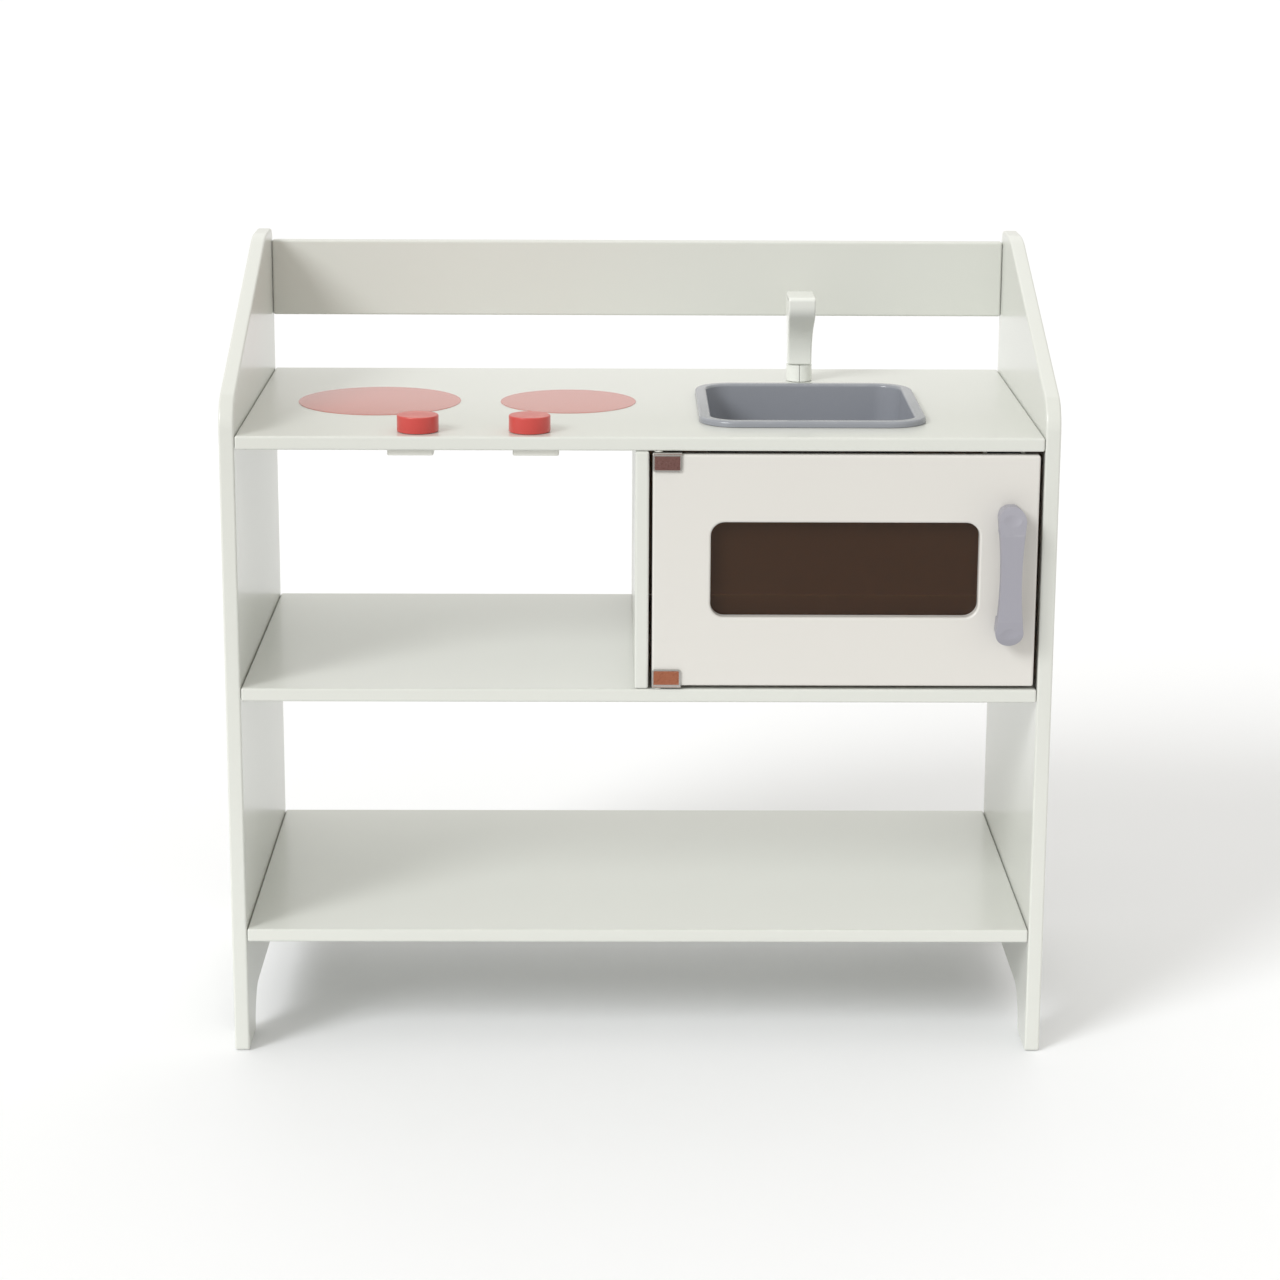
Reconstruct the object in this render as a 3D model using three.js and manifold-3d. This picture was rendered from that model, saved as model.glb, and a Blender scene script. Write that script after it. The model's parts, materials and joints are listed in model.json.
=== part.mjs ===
// Toy kitchen for a small child: two side panels carry a worktop, two shelves and a back rail.
// The worktop holds two printed hob rings, two click knobs, a drop-in sink and a swivel tap.
// Under its right half is an oven with a hinged door, a smoked window and a bow handle.
// Millimetres, +Z up, +X to the right, +Y to the back, standing on z = 0.

import * as THREE from 'three';
import { mergeVertices } from 'three/addons/utils/BufferGeometryUtils.js';
import Module from 'manifold-3d';

const wasm = await Module();
wasm.setup();

// ---- Driving dimensions -------------------------------------------------------------------

// Carcass
const WIDTH = 600;
const DEPTH = 300;
const HEIGHT = 577.5;
const SIDE_THICKNESS = 11;
const BOARD_THICKNESS = 10;
const JOINT_GAP = 0.3;
const RUNNING_GAP = 2 * JOINT_GAP;
const BACK_HEIGHT = 112;
const OVEN_HEIGHT = 175.5;
const BOTTOM_SHELF_TOP = 96;
const RAIL_HEIGHT = 59;
const RAIL_BELOW_TOP = 9.1;

// Side panel outline
const SLOPE_ANGLE = THREE.MathUtils.degToRad(19.8);
const TOP_FLAT = 50;
const TOP_FRONT_RADIUS = 70;
const TOP_BACK_RADIUS = 9;
const SHOULDER_RADIUS = 25;
const FOOT_LENGTH = 45;
const FOOT_HEIGHT = 30;
const ARCH_RADIUS = 26;
const FOOT_RADIUS = 3.5;

// Divider and oven back
const DIVIDER_LEFT = -3.5;
const OVEN_BACK_THICKNESS = 4;

// Door, window and pane
const DOOR_THICKNESS = 10;
const DOOR_GAP_LEFT = 2.5;
const DOOR_GAP_RIGHT = 3;
const DOOR_GAP_ENDS = 2.5;
const DOOR_RADIUS = 1.5;
const STILE_WIDTH = 42;
const RAIL_BELOW_WINDOW = 51.3;
const RAIL_ABOVE_WINDOW = 49.5;
const WINDOW_RADIUS = 10;
const PANE_THICKNESS = 2;
const PANE_LAP = 9;
const PANE_RADIUS = 4;
const PANE_SCREW_INSET = 4.5;

// Bow handle
const HANDLE_LENGTH = 102;
const HANDLE_WIDTH = 20;
const HANDLE_WAIST = 15;
const HANDLE_REACH = 22;
const HANDLE_BAR = 8;
const HANDLE_FOOT = 19;
const HANDLE_INSET = 21;
const HANDLE_RAISE = 0.3;
const HANDLE_TIP_DROP = 7;
const HANDLE_INNER_RADIUS = 5;
const HANDLE_TIP_RADIUS = 4;
const HANDLE_HEEL_RADIUS = 6;
const HANDLE_FACE_RADIUS = 20;

// Corner pivot hinges
const CLIP_LENGTH = 21;
const CLIP_HEIGHT = 14;
const CLIP_PLATE = 1.2;
const CLIP_SLACK = 0.25;
const PIVOT_X = 4.2;
const PIVOT_Y = 3.4;
const PIN_DIAMETER = 3;
const PIN_FIT = 0.1;
const PIN_PLAY = 0.3;
const PIN_REACH = 7;
const BUSH_WALL = 0.7;
const BUSH_FLANGE = 0.5;
const BUSH_FLANGE_LIP = 0.8;

// Magnetic catch
const CATCH_LENGTH = 30;
const CATCH_DEPTH = 14;
const CATCH_HEIGHT = 11;
const CATCH_WALL = 2;
const MAGNET_PROUD = 0.4;
const MAGNET_SIDE_ROOM = 1;
const STRIKE_LENGTH = 22;
const STRIKE_HEIGHT = 13;
const STRIKE_THICKNESS = 1.2;
const STRIKE_RADIUS = 1;
const STRIKE_INSET = 2;
const CATCH_FROM_SIDE = 10;

// Sink
const SINK_FROM_SIDE = 162.5;
const SINK_MARGIN_FRONT = 38;
const SINK_LENGTH = 166;
const SINK_RIM_WIDTH = 8.5;
const SINK_RIM_HEIGHT = 4.6;
const SINK_RADIUS = 28;
const SINK_WALL = 2;
const SINK_DROP = 50;
const SINK_DRAFT = 5;
const SINK_CLEARANCE = 0.6;

// Tap
const TAP_FROM_BACK = 55;
const TAP_BASE_DIAMETER = 20;
const TAP_BASE_HEIGHT = 13;
const TAP_HEIGHT = 69.5;
const TAP_NOSE_WIDTH = 21;
const TAP_STEM_WIDTH = 18.6;
const TAP_STEM = 16;
const TAP_REACH = 34;
const TAP_NOSE = 13;
const TAP_THROAT = 36;
const TAP_THROAT_RADIUS = 38;
const TAP_BACK_RADIUS = 6;
const TAP_NOSE_RADIUS = 3;
const TAP_LIP_RADIUS = 12;
const TAP_TO_SINK = 1.4;
const TAP_SPINDLE_DIAMETER = 8;
const TAP_SPINDLE_BITE = 18;
const TAP_WASHER_DIAMETER = 17;
const TAP_WASHER_THICKNESS = 1.2;

// Knobs and their click mechanism
const KNOB_DIAMETER = 30;
const KNOB_HEIGHT = 12.4;
const KNOB_BEVEL = 1.2;
const KNOB_FROM_FRONT = 22;
const KNOB_FROM_SIDE = 129.6;
const KNOB_SPACING = 80.2;
const AXLE_DIAMETER = 6;
const AXLE_BITE = 8;
const BEARING_STEP = 1;
const HOUSING_HANG = 4.8;
const HOUSING_WALL = 1.2;
const HOUSING_OFFSET = 4.7;
const HOUSING_RADIUS = 2;
const CLICK_WHEEL_DIAMETER = 20;
const CLICK_WHEEL_THICKNESS = 1.8;
const CLICK_WHEEL_ROOM = 0.6;
const CLICK_TEETH = 12;
const CLICK_TOOTH_DEPTH = 0.9;
const SPRING_THICKNESS = 0.6;
const SPRING_LENGTH = 24;
const SPRING_HEIGHT = 1.8;
const SPRING_BOW = 3;

// Printed hob rings
const HOB_LARGE_DIAMETER = 122;
const HOB_SMALL_DIAMETER = 102;
const HOB_LARGE_FROM_SIDE = 94;
const HOB_SMALL_FROM_SIDE = 236;
const HOB_FROM_FRONT = 146;
const HOB_FILM = 0.25;
const HOB_FILM_GAP = 0.05;

// Fasteners: head diameter, head height, shank diameter, length, socket width
const BOARD_SCREW = { head: 8, headHeight: 3, shank: 4, length: 36, socket: 3.5 };
const PANE_SCREW = { head: 5.6, headHeight: 1.6, shank: 2.6, length: 9, socket: 2.2 };
const HANDLE_SCREW = { head: 7, headHeight: 2.4, shank: 3.6, length: 20, socket: 2.8 };
const STRIKE_SCREW = { head: 5.2, headHeight: 1, shank: 2.4, length: 8, socket: 1.8 };
const TAP_SCREW = { head: 8, headHeight: 3, shank: 4, length: 20, socket: 3.5 };
const SOCKET_SHARE = 0.6;
const SCREW_INSET = 50;
const SCREW_CLEARANCE = 0.3;
const SCREW_SUNK = 0.2;

// Roundness
const SEGMENTS_SCREW = 8;
const SEGMENTS_AXLE = 16;
const SEGMENTS_ROUND = 28;
const SEGMENTS_HOB = 40;
const SEGMENTS_CORNER = 5;
const CUT_MARGIN = 1;

// ---- Places that follow from the driving dimensions -----------------------------------------

const INNER_HALF = WIDTH / 2 - SIDE_THICKNESS;
const BOARD_HALF = INNER_HALF - JOINT_GAP;
const WORKTOP_TOP = HEIGHT - BACK_HEIGHT;
const WORKTOP_BOTTOM = WORKTOP_TOP - BOARD_THICKNESS;
const MIDDLE_SHELF_TOP = WORKTOP_BOTTOM - OVEN_HEIGHT;
const RAIL_TOP = HEIGHT - RAIL_BELOW_TOP;
const RAIL_BOTTOM = RAIL_TOP - RAIL_HEIGHT;
const DIVIDER_RIGHT = DIVIDER_LEFT + BOARD_THICKNESS;
const DOOR_LEFT = DIVIDER_RIGHT + DOOR_GAP_LEFT;
const DOOR_BOTTOM = MIDDLE_SHELF_TOP + DOOR_GAP_ENDS;
const DOOR_LENGTH = INNER_HALF - DOOR_GAP_RIGHT - DOOR_LEFT;
const DOOR_HEIGHT = WORKTOP_BOTTOM - DOOR_GAP_ENDS - DOOR_BOTTOM;
const SINK_X = INNER_HALF - SINK_FROM_SIDE;
const TAP_Y = DEPTH - TAP_FROM_BACK;
const TAP_SWEEP = Math.hypot(TAP_REACH, TAP_NOSE_WIDTH / 2);
const SINK_DEPTH = TAP_Y - TAP_SWEEP - TAP_TO_SINK - SINK_MARGIN_FRONT;
const SINK_Y = SINK_MARGIN_FRONT + SINK_DEPTH / 2;
const KNOB_X = [-INNER_HALF + KNOB_FROM_SIDE, -INNER_HALF + KNOB_FROM_SIDE + KNOB_SPACING];
const QUARTER = Math.PI / 2;

// ---- Finishes -------------------------------------------------------------------------------

const finish = (color, roughness, metalness = 0) =>
  new THREE.MeshStandardMaterial({ color, roughness, metalness });

const LACQUER = finish(0xe3e3dc, 0.45);
const DOOR_LACQUER = finish(0xe2ded6, 0.45);
const KNOB_PAINT = finish(0xc4504c, 0.5);
const HOB_PRINT = finish(0xcf6a62, 0.35);
const SINK_PLASTIC = finish(0x7c828e, 0.4);
const HANDLE_PLASTIC = finish(0xa6a4b2, 0.5);
const WHITE_PLASTIC = finish(0xefefec, 0.5);
const COPPER_PLATE = finish(0x8a5a4a, 0.35, 0.8);
const STEEL = finish(0xb8b8b6, 0.35, 0.9);
const MAGNET_BLACK = finish(0x2c2c2e, 0.6, 0.3);
const SMOKED_ACRYLIC = new THREE.MeshStandardMaterial({
  color: 0x403026,
  roughness: 0.15,
  metalness: 0,
  transparent: true,
  opacity: 0.85,
});

// ---- Solids ---------------------------------------------------------------------------------

// A closed geometry as a manifold solid, for joining and cutting.
function toSolid(geometry) {
  const bare = geometry.clone();
  bare.deleteAttribute('normal');
  bare.deleteAttribute('uv');
  const merged = mergeVertices(bare, 1e-4);
  const mesh = new wasm.Mesh({
    numProp: 3,
    vertProperties: new Float32Array(merged.attributes.position.array),
    triVerts: new Uint32Array(merged.index.array),
  });
  return new wasm.Manifold(mesh);
}

// A manifold solid back as a geometry with flat faces.
function toGeometry(solid) {
  const mesh = solid.getMesh();
  const geometry = new THREE.BufferGeometry();
  geometry.setAttribute('position', new THREE.BufferAttribute(mesh.vertProperties, 3));
  geometry.setIndex(new THREE.BufferAttribute(mesh.triVerts, 1));
  geometry.computeVertexNormals();
  return geometry;
}

function cut(geometry, cutters) {
  const body = toSolid(geometry);
  return toGeometry(cutters.reduce((left, cutter) => left.subtract(toSolid(cutter)), body));
}

function join(first, second) {
  return toGeometry(toSolid(first).add(toSolid(second)));
}

// A straight-sided block between two corners.
function block([x0, y0, z0], [x1, y1, z1]) {
  const geometry = new THREE.BoxGeometry(x1 - x0, y1 - y0, z1 - z0);
  return geometry.translate((x0 + x1) / 2, (y0 + y1) / 2, (z0 + z1) / 2);
}

// A closed outline through corner points [x, y, radius], each rounded by its own arc.
function roundedOutline(corners) {
  const shape = new THREE.Shape();
  const count = corners.length;
  corners.forEach(([x, y, radius], index) => {
    const corner = new THREE.Vector2(x, y);
    const [xBefore, yBefore] = corners[(index + count - 1) % count];
    const [xAfter, yAfter] = corners[(index + 1) % count];
    const back = new THREE.Vector2(xBefore, yBefore).sub(corner).normalize();
    const ahead = new THREE.Vector2(xAfter, yAfter).sub(corner).normalize();
    const half = Math.acos(back.dot(ahead)) / 2;
    const tangent = radius / Math.tan(half);
    const start = corner.clone().addScaledVector(back, tangent);
    const end = corner.clone().addScaledVector(ahead, tangent);
    const middle = back.clone().add(ahead).normalize();
    const centre = corner.clone().addScaledVector(middle, radius / Math.sin(half));
    if (index === 0) shape.moveTo(start.x, start.y);
    else shape.lineTo(start.x, start.y);
    if (radius === 0) return;
    const from = Math.atan2(start.y - centre.y, start.x - centre.x);
    const to = Math.atan2(end.y - centre.y, end.x - centre.x);
    const clockwise = back.cross(ahead) > 0;
    shape.absarc(centre.x, centre.y, radius, from, to, clockwise);
  });
  shape.closePath();
  return shape;
}

function rectangle(x0, y0, x1, y1, radius) {
  return roundedOutline([[x0, y0, radius], [x1, y0, radius], [x1, y1, radius], [x0, y1, radius]]);
}

// An outline in x and y pulled up from z0 to z1.
function pulled(shape, z0, z1) {
  const options = { depth: z1 - z0, bevelEnabled: false, curveSegments: SEGMENTS_CORNER };
  return new THREE.ExtrudeGeometry(shape, options).translate(0, 0, z0);
}

// An outline in y and z pulled along x from x0 to x1.
function pulledAcross(shape, x0, x1) {
  return pulled(shape, x0, x1).rotateX(QUARTER).rotateZ(QUARTER);
}

// An outline in x and z pulled along y from y0 to y1.
function pulledBack(shape, y0, y1) {
  return pulled(shape, -y1, -y0).rotateX(QUARTER);
}

// A profile of [radius, height] points turned about z.
function turned(profile, segments) {
  const points = profile.map(([radius, height]) => new THREE.Vector2(radius, height));
  return new THREE.LatheGeometry(points, segments).rotateX(QUARTER);
}

function rod(radius, z0, z1, segments) {
  return turned([[0, z0], [radius, z0], [radius, z1], [0, z1]], segments);
}

function ring(inner, outer, z0, z1, segments) {
  return turned([[inner, z0], [outer, z0], [outer, z1], [inner, z1], [inner, z0]], segments);
}

// ---- Screws: head up at z = 0, shank down ----------------------------------------------------

function screwGeometry({ head, headHeight, shank, length, socket }) {
  const socketDepth = headHeight * SOCKET_SHARE;
  return turned([
    [0, -length],
    [shank / 2, -length],
    [shank / 2, -headHeight],
    [head / 2, 0],
    [socket / 2, 0],
    [socket / 2, -socketDepth],
    [0, -socketDepth],
  ], SEGMENTS_SCREW);
}

// The countersunk hole that a screw needs, open above its head.
function screwHole({ head, headHeight, shank, length }) {
  const gap = SCREW_CLEARANCE;
  return turned([
    [0, -length - gap],
    [shank / 2 + gap, -length - gap],
    [shank / 2 + gap, -headHeight - gap],
    [head / 2 + gap, 0],
    [head / 2 + gap, CUT_MARGIN],
    [0, CUT_MARGIN],
  ], SEGMENTS_SCREW);
}

const HEAD_FACES = {
  left: new THREE.Euler(0, -QUARTER, 0),
  right: new THREE.Euler(0, QUARTER, 0),
  back: new THREE.Euler(-QUARTER, 0, 0),
  down: new THREE.Euler(Math.PI, 0, 0),
};

// One screw's place, kept together with the hole that it needs.
function screwAt(kind, x, y, z, facing) {
  const rotation = HEAD_FACES[facing];
  const placed = new THREE.Matrix4().makeRotationFromEuler(rotation).setPosition(x, y, z);
  return { kind, x, y, z, rotation, hole: screwHole(kind).applyMatrix4(placed) };
}

function holesOf(screws) {
  return screws.map(({ hole }) => hole);
}

function addPiece(group, name, geometry, material) {
  const mesh = new THREE.Mesh(geometry, material);
  mesh.name = name;
  group.add(mesh);
  return mesh;
}

function addScrew(group, name, { kind, x, y, z, rotation }) {
  const mesh = addPiece(group, name, screwGeometry(kind), STEEL);
  mesh.position.set(x, y, z);
  mesh.rotation.copy(rotation);
}

// ---- Carcass --------------------------------------------------------------------------------

const LEVELS = {
  worktop: WORKTOP_TOP - BOARD_THICKNESS / 2,
  middle_shelf: MIDDLE_SHELF_TOP - BOARD_THICKNESS / 2,
  bottom_shelf: BOTTOM_SHELF_TOP - BOARD_THICKNESS / 2,
};

// The screws through one side panel: a front and a back one at each board, one at the rail.
function sideScrews(side) {
  const outward = side === 'left' ? -1 : 1;
  const x = outward * (WIDTH / 2 - SCREW_SUNK);
  const screws = {};
  for (const [board, z] of Object.entries(LEVELS)) {
    screws[`${board}_screw_${side}_front`] = screwAt(BOARD_SCREW, x, SCREW_INSET, z, side);
    screws[`${board}_screw_${side}_back`] = screwAt(BOARD_SCREW, x, DEPTH - SCREW_INSET, z, side);
  }
  const railY = DEPTH - BOARD_THICKNESS / 2;
  const railZ = (RAIL_BOTTOM + RAIL_TOP) / 2;
  screws[`back_rail_screw_${side}`] = screwAt(BOARD_SCREW, x, railY, railZ, side);
  return screws;
}

const SIDE_SCREWS = { left: sideScrews('left'), right: sideScrews('right') };

function screwHolesFor(board) {
  return Object.values(SIDE_SCREWS)
    .flatMap((screws) => Object.entries(screws))
    .filter(([name]) => name.startsWith(board))
    .map(([, screw]) => screw.hole);
}

// Straight front, sloping shoulder, short level top at the back, and an arch between two feet.
function sideOutline() {
  const slopeRun = DEPTH - TOP_FLAT;
  const shoulder = HEIGHT - slopeRun * Math.tan(SLOPE_ANGLE);
  return roundedOutline([
    [0, 0, FOOT_RADIUS],
    [FOOT_LENGTH, 0, FOOT_RADIUS],
    [FOOT_LENGTH, FOOT_HEIGHT, ARCH_RADIUS],
    [DEPTH - FOOT_LENGTH, FOOT_HEIGHT, ARCH_RADIUS],
    [DEPTH - FOOT_LENGTH, 0, FOOT_RADIUS],
    [DEPTH, 0, FOOT_RADIUS],
    [DEPTH, HEIGHT, TOP_BACK_RADIUS],
    [slopeRun, HEIGHT, TOP_FRONT_RADIUS],
    [0, shoulder, SHOULDER_RADIUS],
  ]);
}

function sidePanel(side) {
  const inner = side === 'left' ? -WIDTH / 2 : INNER_HALF;
  const panel = pulledAcross(sideOutline(), inner, inner + SIDE_THICKNESS);
  return cut(panel, holesOf(Object.values(SIDE_SCREWS[side])));
}

function board(top, extraCuts, name) {
  const plank = block([-BOARD_HALF, 0, top - BOARD_THICKNESS], [BOARD_HALF, DEPTH, top]);
  return cut(plank, [...screwHolesFor(name), ...extraCuts]);
}

const DIVIDER_X = (DIVIDER_LEFT + DIVIDER_RIGHT) / 2;
const DIVIDER_SCREW_Z = MIDDLE_SHELF_TOP - BOARD_THICKNESS + SCREW_SUNK;
const DIVIDER_SCREWS = {
  divider_screw_front: screwAt(BOARD_SCREW, DIVIDER_X, SCREW_INSET, DIVIDER_SCREW_Z, 'down'),
  divider_screw_back: screwAt(BOARD_SCREW, DIVIDER_X, DEPTH - SCREW_INSET, DIVIDER_SCREW_Z, 'down'),
};

// ---- Sink -----------------------------------------------------------------------------------

// Half sizes of the sink's rounded rectangles, measured from its centre.
const SINK_RIM_HALF = [SINK_LENGTH / 2, SINK_DEPTH / 2];
const SINK_MOUTH_HALF = SINK_RIM_HALF.map((half) => half - SINK_RIM_WIDTH);
const SINK_BODY_HALF = SINK_MOUTH_HALF.map((half) => half + SINK_WALL);
const SINK_HOLE_HALF = SINK_BODY_HALF.map((half) => half + SINK_CLEARANCE);
const SINK_MOUTH_RADIUS = SINK_RADIUS - SINK_RIM_WIDTH;

// A rounded tub about the origin, narrower at its foot by the draft all round.
function tub([halfX, halfY], radius, z0, z1, draft) {
  const geometry = pulled(rectangle(-halfX, -halfY, halfX, halfY, radius), z0, z1);
  const position = geometry.attributes.position;
  for (let index = 0; index < position.count; index += 1) {
    if (position.getZ(index) > (z0 + z1) / 2) continue;
    position.setX(index, position.getX(index) * (1 - draft / halfX));
    position.setY(index, position.getY(index) * (1 - draft / halfY));
  }
  return geometry;
}

function sinkBowl() {
  const bottom = -SINK_DROP;
  const bodyRadius = SINK_MOUTH_RADIUS + SINK_WALL;
  const rim = tub(SINK_RIM_HALF, SINK_RADIUS, JOINT_GAP, SINK_RIM_HEIGHT, 0);
  const body = tub(SINK_BODY_HALF, bodyRadius, bottom, SINK_RIM_HEIGHT / 2, SINK_DRAFT);
  const hollowFloor = bottom + SINK_WALL;
  const hollowTop = SINK_RIM_HEIGHT + CUT_MARGIN;
  const hollow = tub(SINK_MOUTH_HALF, SINK_MOUTH_RADIUS, hollowFloor, hollowTop, SINK_DRAFT);
  return cut(join(rim, body), [hollow]);
}

function sinkCutOut() {
  const [halfX, halfY] = SINK_HOLE_HALF;
  const radius = SINK_MOUTH_RADIUS + SINK_WALL + SINK_CLEARANCE;
  const outline = rectangle(
    SINK_X - halfX,
    SINK_Y - halfY,
    SINK_X + halfX,
    SINK_Y + halfY,
    radius,
  );
  return pulled(outline, WORKTOP_BOTTOM - CUT_MARGIN, WORKTOP_TOP + CUT_MARGIN);
}

// ---- Knobs: each group stands on the worktop at its own axis ----------------------------------

// A hole through the worktop for an axle or a spindle.
function worktopHole(x, y, diameter) {
  const z0 = WORKTOP_BOTTOM - CUT_MARGIN;
  const z1 = WORKTOP_TOP + CUT_MARGIN;
  return rod(diameter / 2 + RUNNING_GAP, z0, z1, SEGMENTS_AXLE).translate(x, y, 0);
}

function knobCap() {
  const radius = KNOB_DIAMETER / 2;
  const bore = AXLE_DIAMETER / 2 + JOINT_GAP;
  const bottom = JOINT_GAP;
  const boreTop = bottom + AXLE_BITE + JOINT_GAP;
  return turned([
    [bore, bottom],
    [radius, bottom],
    [radius, KNOB_HEIGHT - KNOB_BEVEL],
    [radius - KNOB_BEVEL, KNOB_HEIGHT],
    [0, KNOB_HEIGHT],
    [0, boreTop],
    [bore, boreTop],
    [bore, bottom],
  ], SEGMENTS_ROUND);
}

const HOUSING_TOP = -BOARD_THICKNESS - JOINT_GAP;
const HOUSING_BOTTOM = -BOARD_THICKNESS - HOUSING_HANG;
const HOUSING_FLOOR = HOUSING_BOTTOM + HOUSING_WALL;
const HOUSING_HOLLOW_HALF = HOUSING_OFFSET + CLICK_WHEEL_DIAMETER / 2 + CLICK_WHEEL_ROOM;
const HOUSING_HALF = HOUSING_HOLLOW_HALF + HOUSING_WALL;
const CLICK_WHEEL_BOTTOM = HOUSING_FLOOR + RUNNING_GAP;
const BEARING_DIAMETER = AXLE_DIAMETER - BEARING_STEP;

// The axle with its toothed click wheel, which turns inside the housing.
function clickAxle() {
  const wheel = new THREE.Shape();
  for (let index = 0; index < 2 * CLICK_TEETH; index += 1) {
    const radius = CLICK_WHEEL_DIAMETER / 2 - (index % 2) * CLICK_TOOTH_DEPTH;
    const angle = (index * Math.PI) / CLICK_TEETH;
    const point = [radius * Math.cos(angle), radius * Math.sin(angle)];
    if (index === 0) wheel.moveTo(...point);
    else wheel.lineTo(...point);
  }
  wheel.closePath();
  const wheelTop = CLICK_WHEEL_BOTTOM + CLICK_WHEEL_THICKNESS;
  const shaft = turned([
    [0, HOUSING_BOTTOM],
    [BEARING_DIAMETER / 2, HOUSING_BOTTOM],
    [BEARING_DIAMETER / 2, CLICK_WHEEL_BOTTOM],
    [AXLE_DIAMETER / 2, CLICK_WHEEL_BOTTOM],
    [AXLE_DIAMETER / 2, AXLE_BITE],
    [0, AXLE_BITE],
  ], SEGMENTS_AXLE);
  return join(shaft, pulled(wheel, CLICK_WHEEL_BOTTOM, wheelTop));
}

// A shallow box under the worktop, off to one side of the axle to leave room for the spring.
function clickHousing(side) {
  const centre = side * HOUSING_OFFSET;
  const half = HOUSING_HALF;
  const inside = HOUSING_HOLLOW_HALF;
  const shell = pulled(
    rectangle(centre - half, -half, centre + half, half, HOUSING_RADIUS),
    HOUSING_BOTTOM,
    HOUSING_TOP,
  );
  const hollow = block(
    [centre - inside, -inside, HOUSING_FLOOR],
    [centre + inside, inside, HOUSING_TOP + CUT_MARGIN],
  );
  const bearing = rod(
    BEARING_DIAMETER / 2 + JOINT_GAP,
    HOUSING_BOTTOM - CUT_MARGIN,
    HOUSING_FLOOR + CUT_MARGIN,
    SEGMENTS_AXLE,
  );
  return cut(shell, [hollow, bearing]);
}

// A leaf spring whose bent nose rides on the tips of the click wheel's teeth.
function clickSpring(side) {
  const nose = CLICK_WHEEL_DIAMETER / 2 + JOINT_GAP;
  const back = nose + SPRING_BOW;
  const half = SPRING_LENGTH / 2;
  const leaf = new THREE.Shape();
  leaf.moveTo(back, -half);
  leaf.lineTo(back + SPRING_THICKNESS, -half);
  leaf.lineTo(nose + SPRING_THICKNESS, 0);
  leaf.lineTo(back + SPRING_THICKNESS, half);
  leaf.lineTo(back, half);
  leaf.lineTo(nose, 0);
  leaf.closePath();
  const spring = pulled(leaf, CLICK_WHEEL_BOTTOM, CLICK_WHEEL_BOTTOM + SPRING_HEIGHT);
  return side < 0 ? spring.rotateZ(Math.PI) : spring;
}

function addKnob(name, x, side) {
  const group = new THREE.Group();
  group.position.set(x, KNOB_FROM_FRONT, WORKTOP_TOP);
  addPiece(group, `${name}_knob`, knobCap(), KNOB_PAINT);
  addPiece(group, `${name}_knob_axle`, clickAxle(), WHITE_PLASTIC);
  addPiece(group, `${name}_click_housing`, clickHousing(side), WHITE_PLASTIC);
  addPiece(group, `${name}_click_spring`, clickSpring(side), STEEL);
  kitchen.add(group);
}

// ---- Tap: the group stands on the worktop at the tap's axis ----------------------------------

// One half of the round foot, bored for the spindle and parted from its twin along the axis.
function tapBaseHalf(side) {
  const radius = TAP_BASE_DIAMETER / 2;
  const bore = TAP_SPINDLE_DIAMETER / 2 + RUNNING_GAP;
  const foot = ring(bore, radius, JOINT_GAP, TAP_BASE_HEIGHT, SEGMENTS_ROUND);
  const otherHalf = block(
    [-radius - CUT_MARGIN, -radius - CUT_MARGIN, -CUT_MARGIN],
    [JOINT_GAP / 2, radius + CUT_MARGIN, TAP_BASE_HEIGHT + CUT_MARGIN],
  );
  const half = cut(foot, [otherHalf]);
  return side < 0 ? half.rotateZ(Math.PI) : half;
}

// Square stem that swells forward over a hollow throat into a short, slightly wider nose.
function tapSpout() {
  const bottom = TAP_BASE_HEIGHT + JOINT_GAP;
  const stem = TAP_STEM / 2;
  const outline = roundedOutline([
    [stem, bottom, 0],
    [stem, TAP_HEIGHT, TAP_BACK_RADIUS],
    [-TAP_REACH, TAP_HEIGHT, TAP_NOSE_RADIUS],
    [-TAP_REACH, TAP_HEIGHT - TAP_NOSE, TAP_LIP_RADIUS],
    [-stem, TAP_HEIGHT - TAP_THROAT, TAP_THROAT_RADIUS],
    [-stem, bottom, 0],
  ]);
  const body = pulledAcross(outline, -TAP_NOSE_WIDTH / 2, TAP_NOSE_WIDTH / 2);
  const position = body.attributes.position;
  for (let index = 0; index < position.count; index += 1) {
    const ahead = THREE.MathUtils.clamp((-stem - position.getY(index)) / (TAP_REACH - stem), 0, 1);
    const width = THREE.MathUtils.lerp(TAP_STEM_WIDTH, TAP_NOSE_WIDTH, ahead);
    position.setX(index, (position.getX(index) * width) / TAP_NOSE_WIDTH);
  }
  const boreTop = bottom + TAP_SPINDLE_BITE + JOINT_GAP;
  const bore = rod(
    TAP_SPINDLE_DIAMETER / 2 + JOINT_GAP,
    bottom - CUT_MARGIN,
    boreTop,
    SEGMENTS_AXLE,
  );
  return cut(body, [bore]);
}

const TAP_WASHER_TOP = -BOARD_THICKNESS - JOINT_GAP;
const TAP_WASHER_BOTTOM = TAP_WASHER_TOP - TAP_WASHER_THICKNESS;

const TAP_SCREW_PLACE = screwAt(
  TAP_SCREW,
  0,
  0,
  TAP_WASHER_BOTTOM - SCREW_CLEARANCE - TAP_SCREW.headHeight,
  'down',
);

function tapSpindle() {
  const top = TAP_BASE_HEIGHT + JOINT_GAP + TAP_SPINDLE_BITE;
  const spindle = rod(TAP_SPINDLE_DIAMETER / 2, -BOARD_THICKNESS, top, SEGMENTS_AXLE);
  return cut(spindle, [TAP_SCREW_PLACE.hole]);
}

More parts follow.
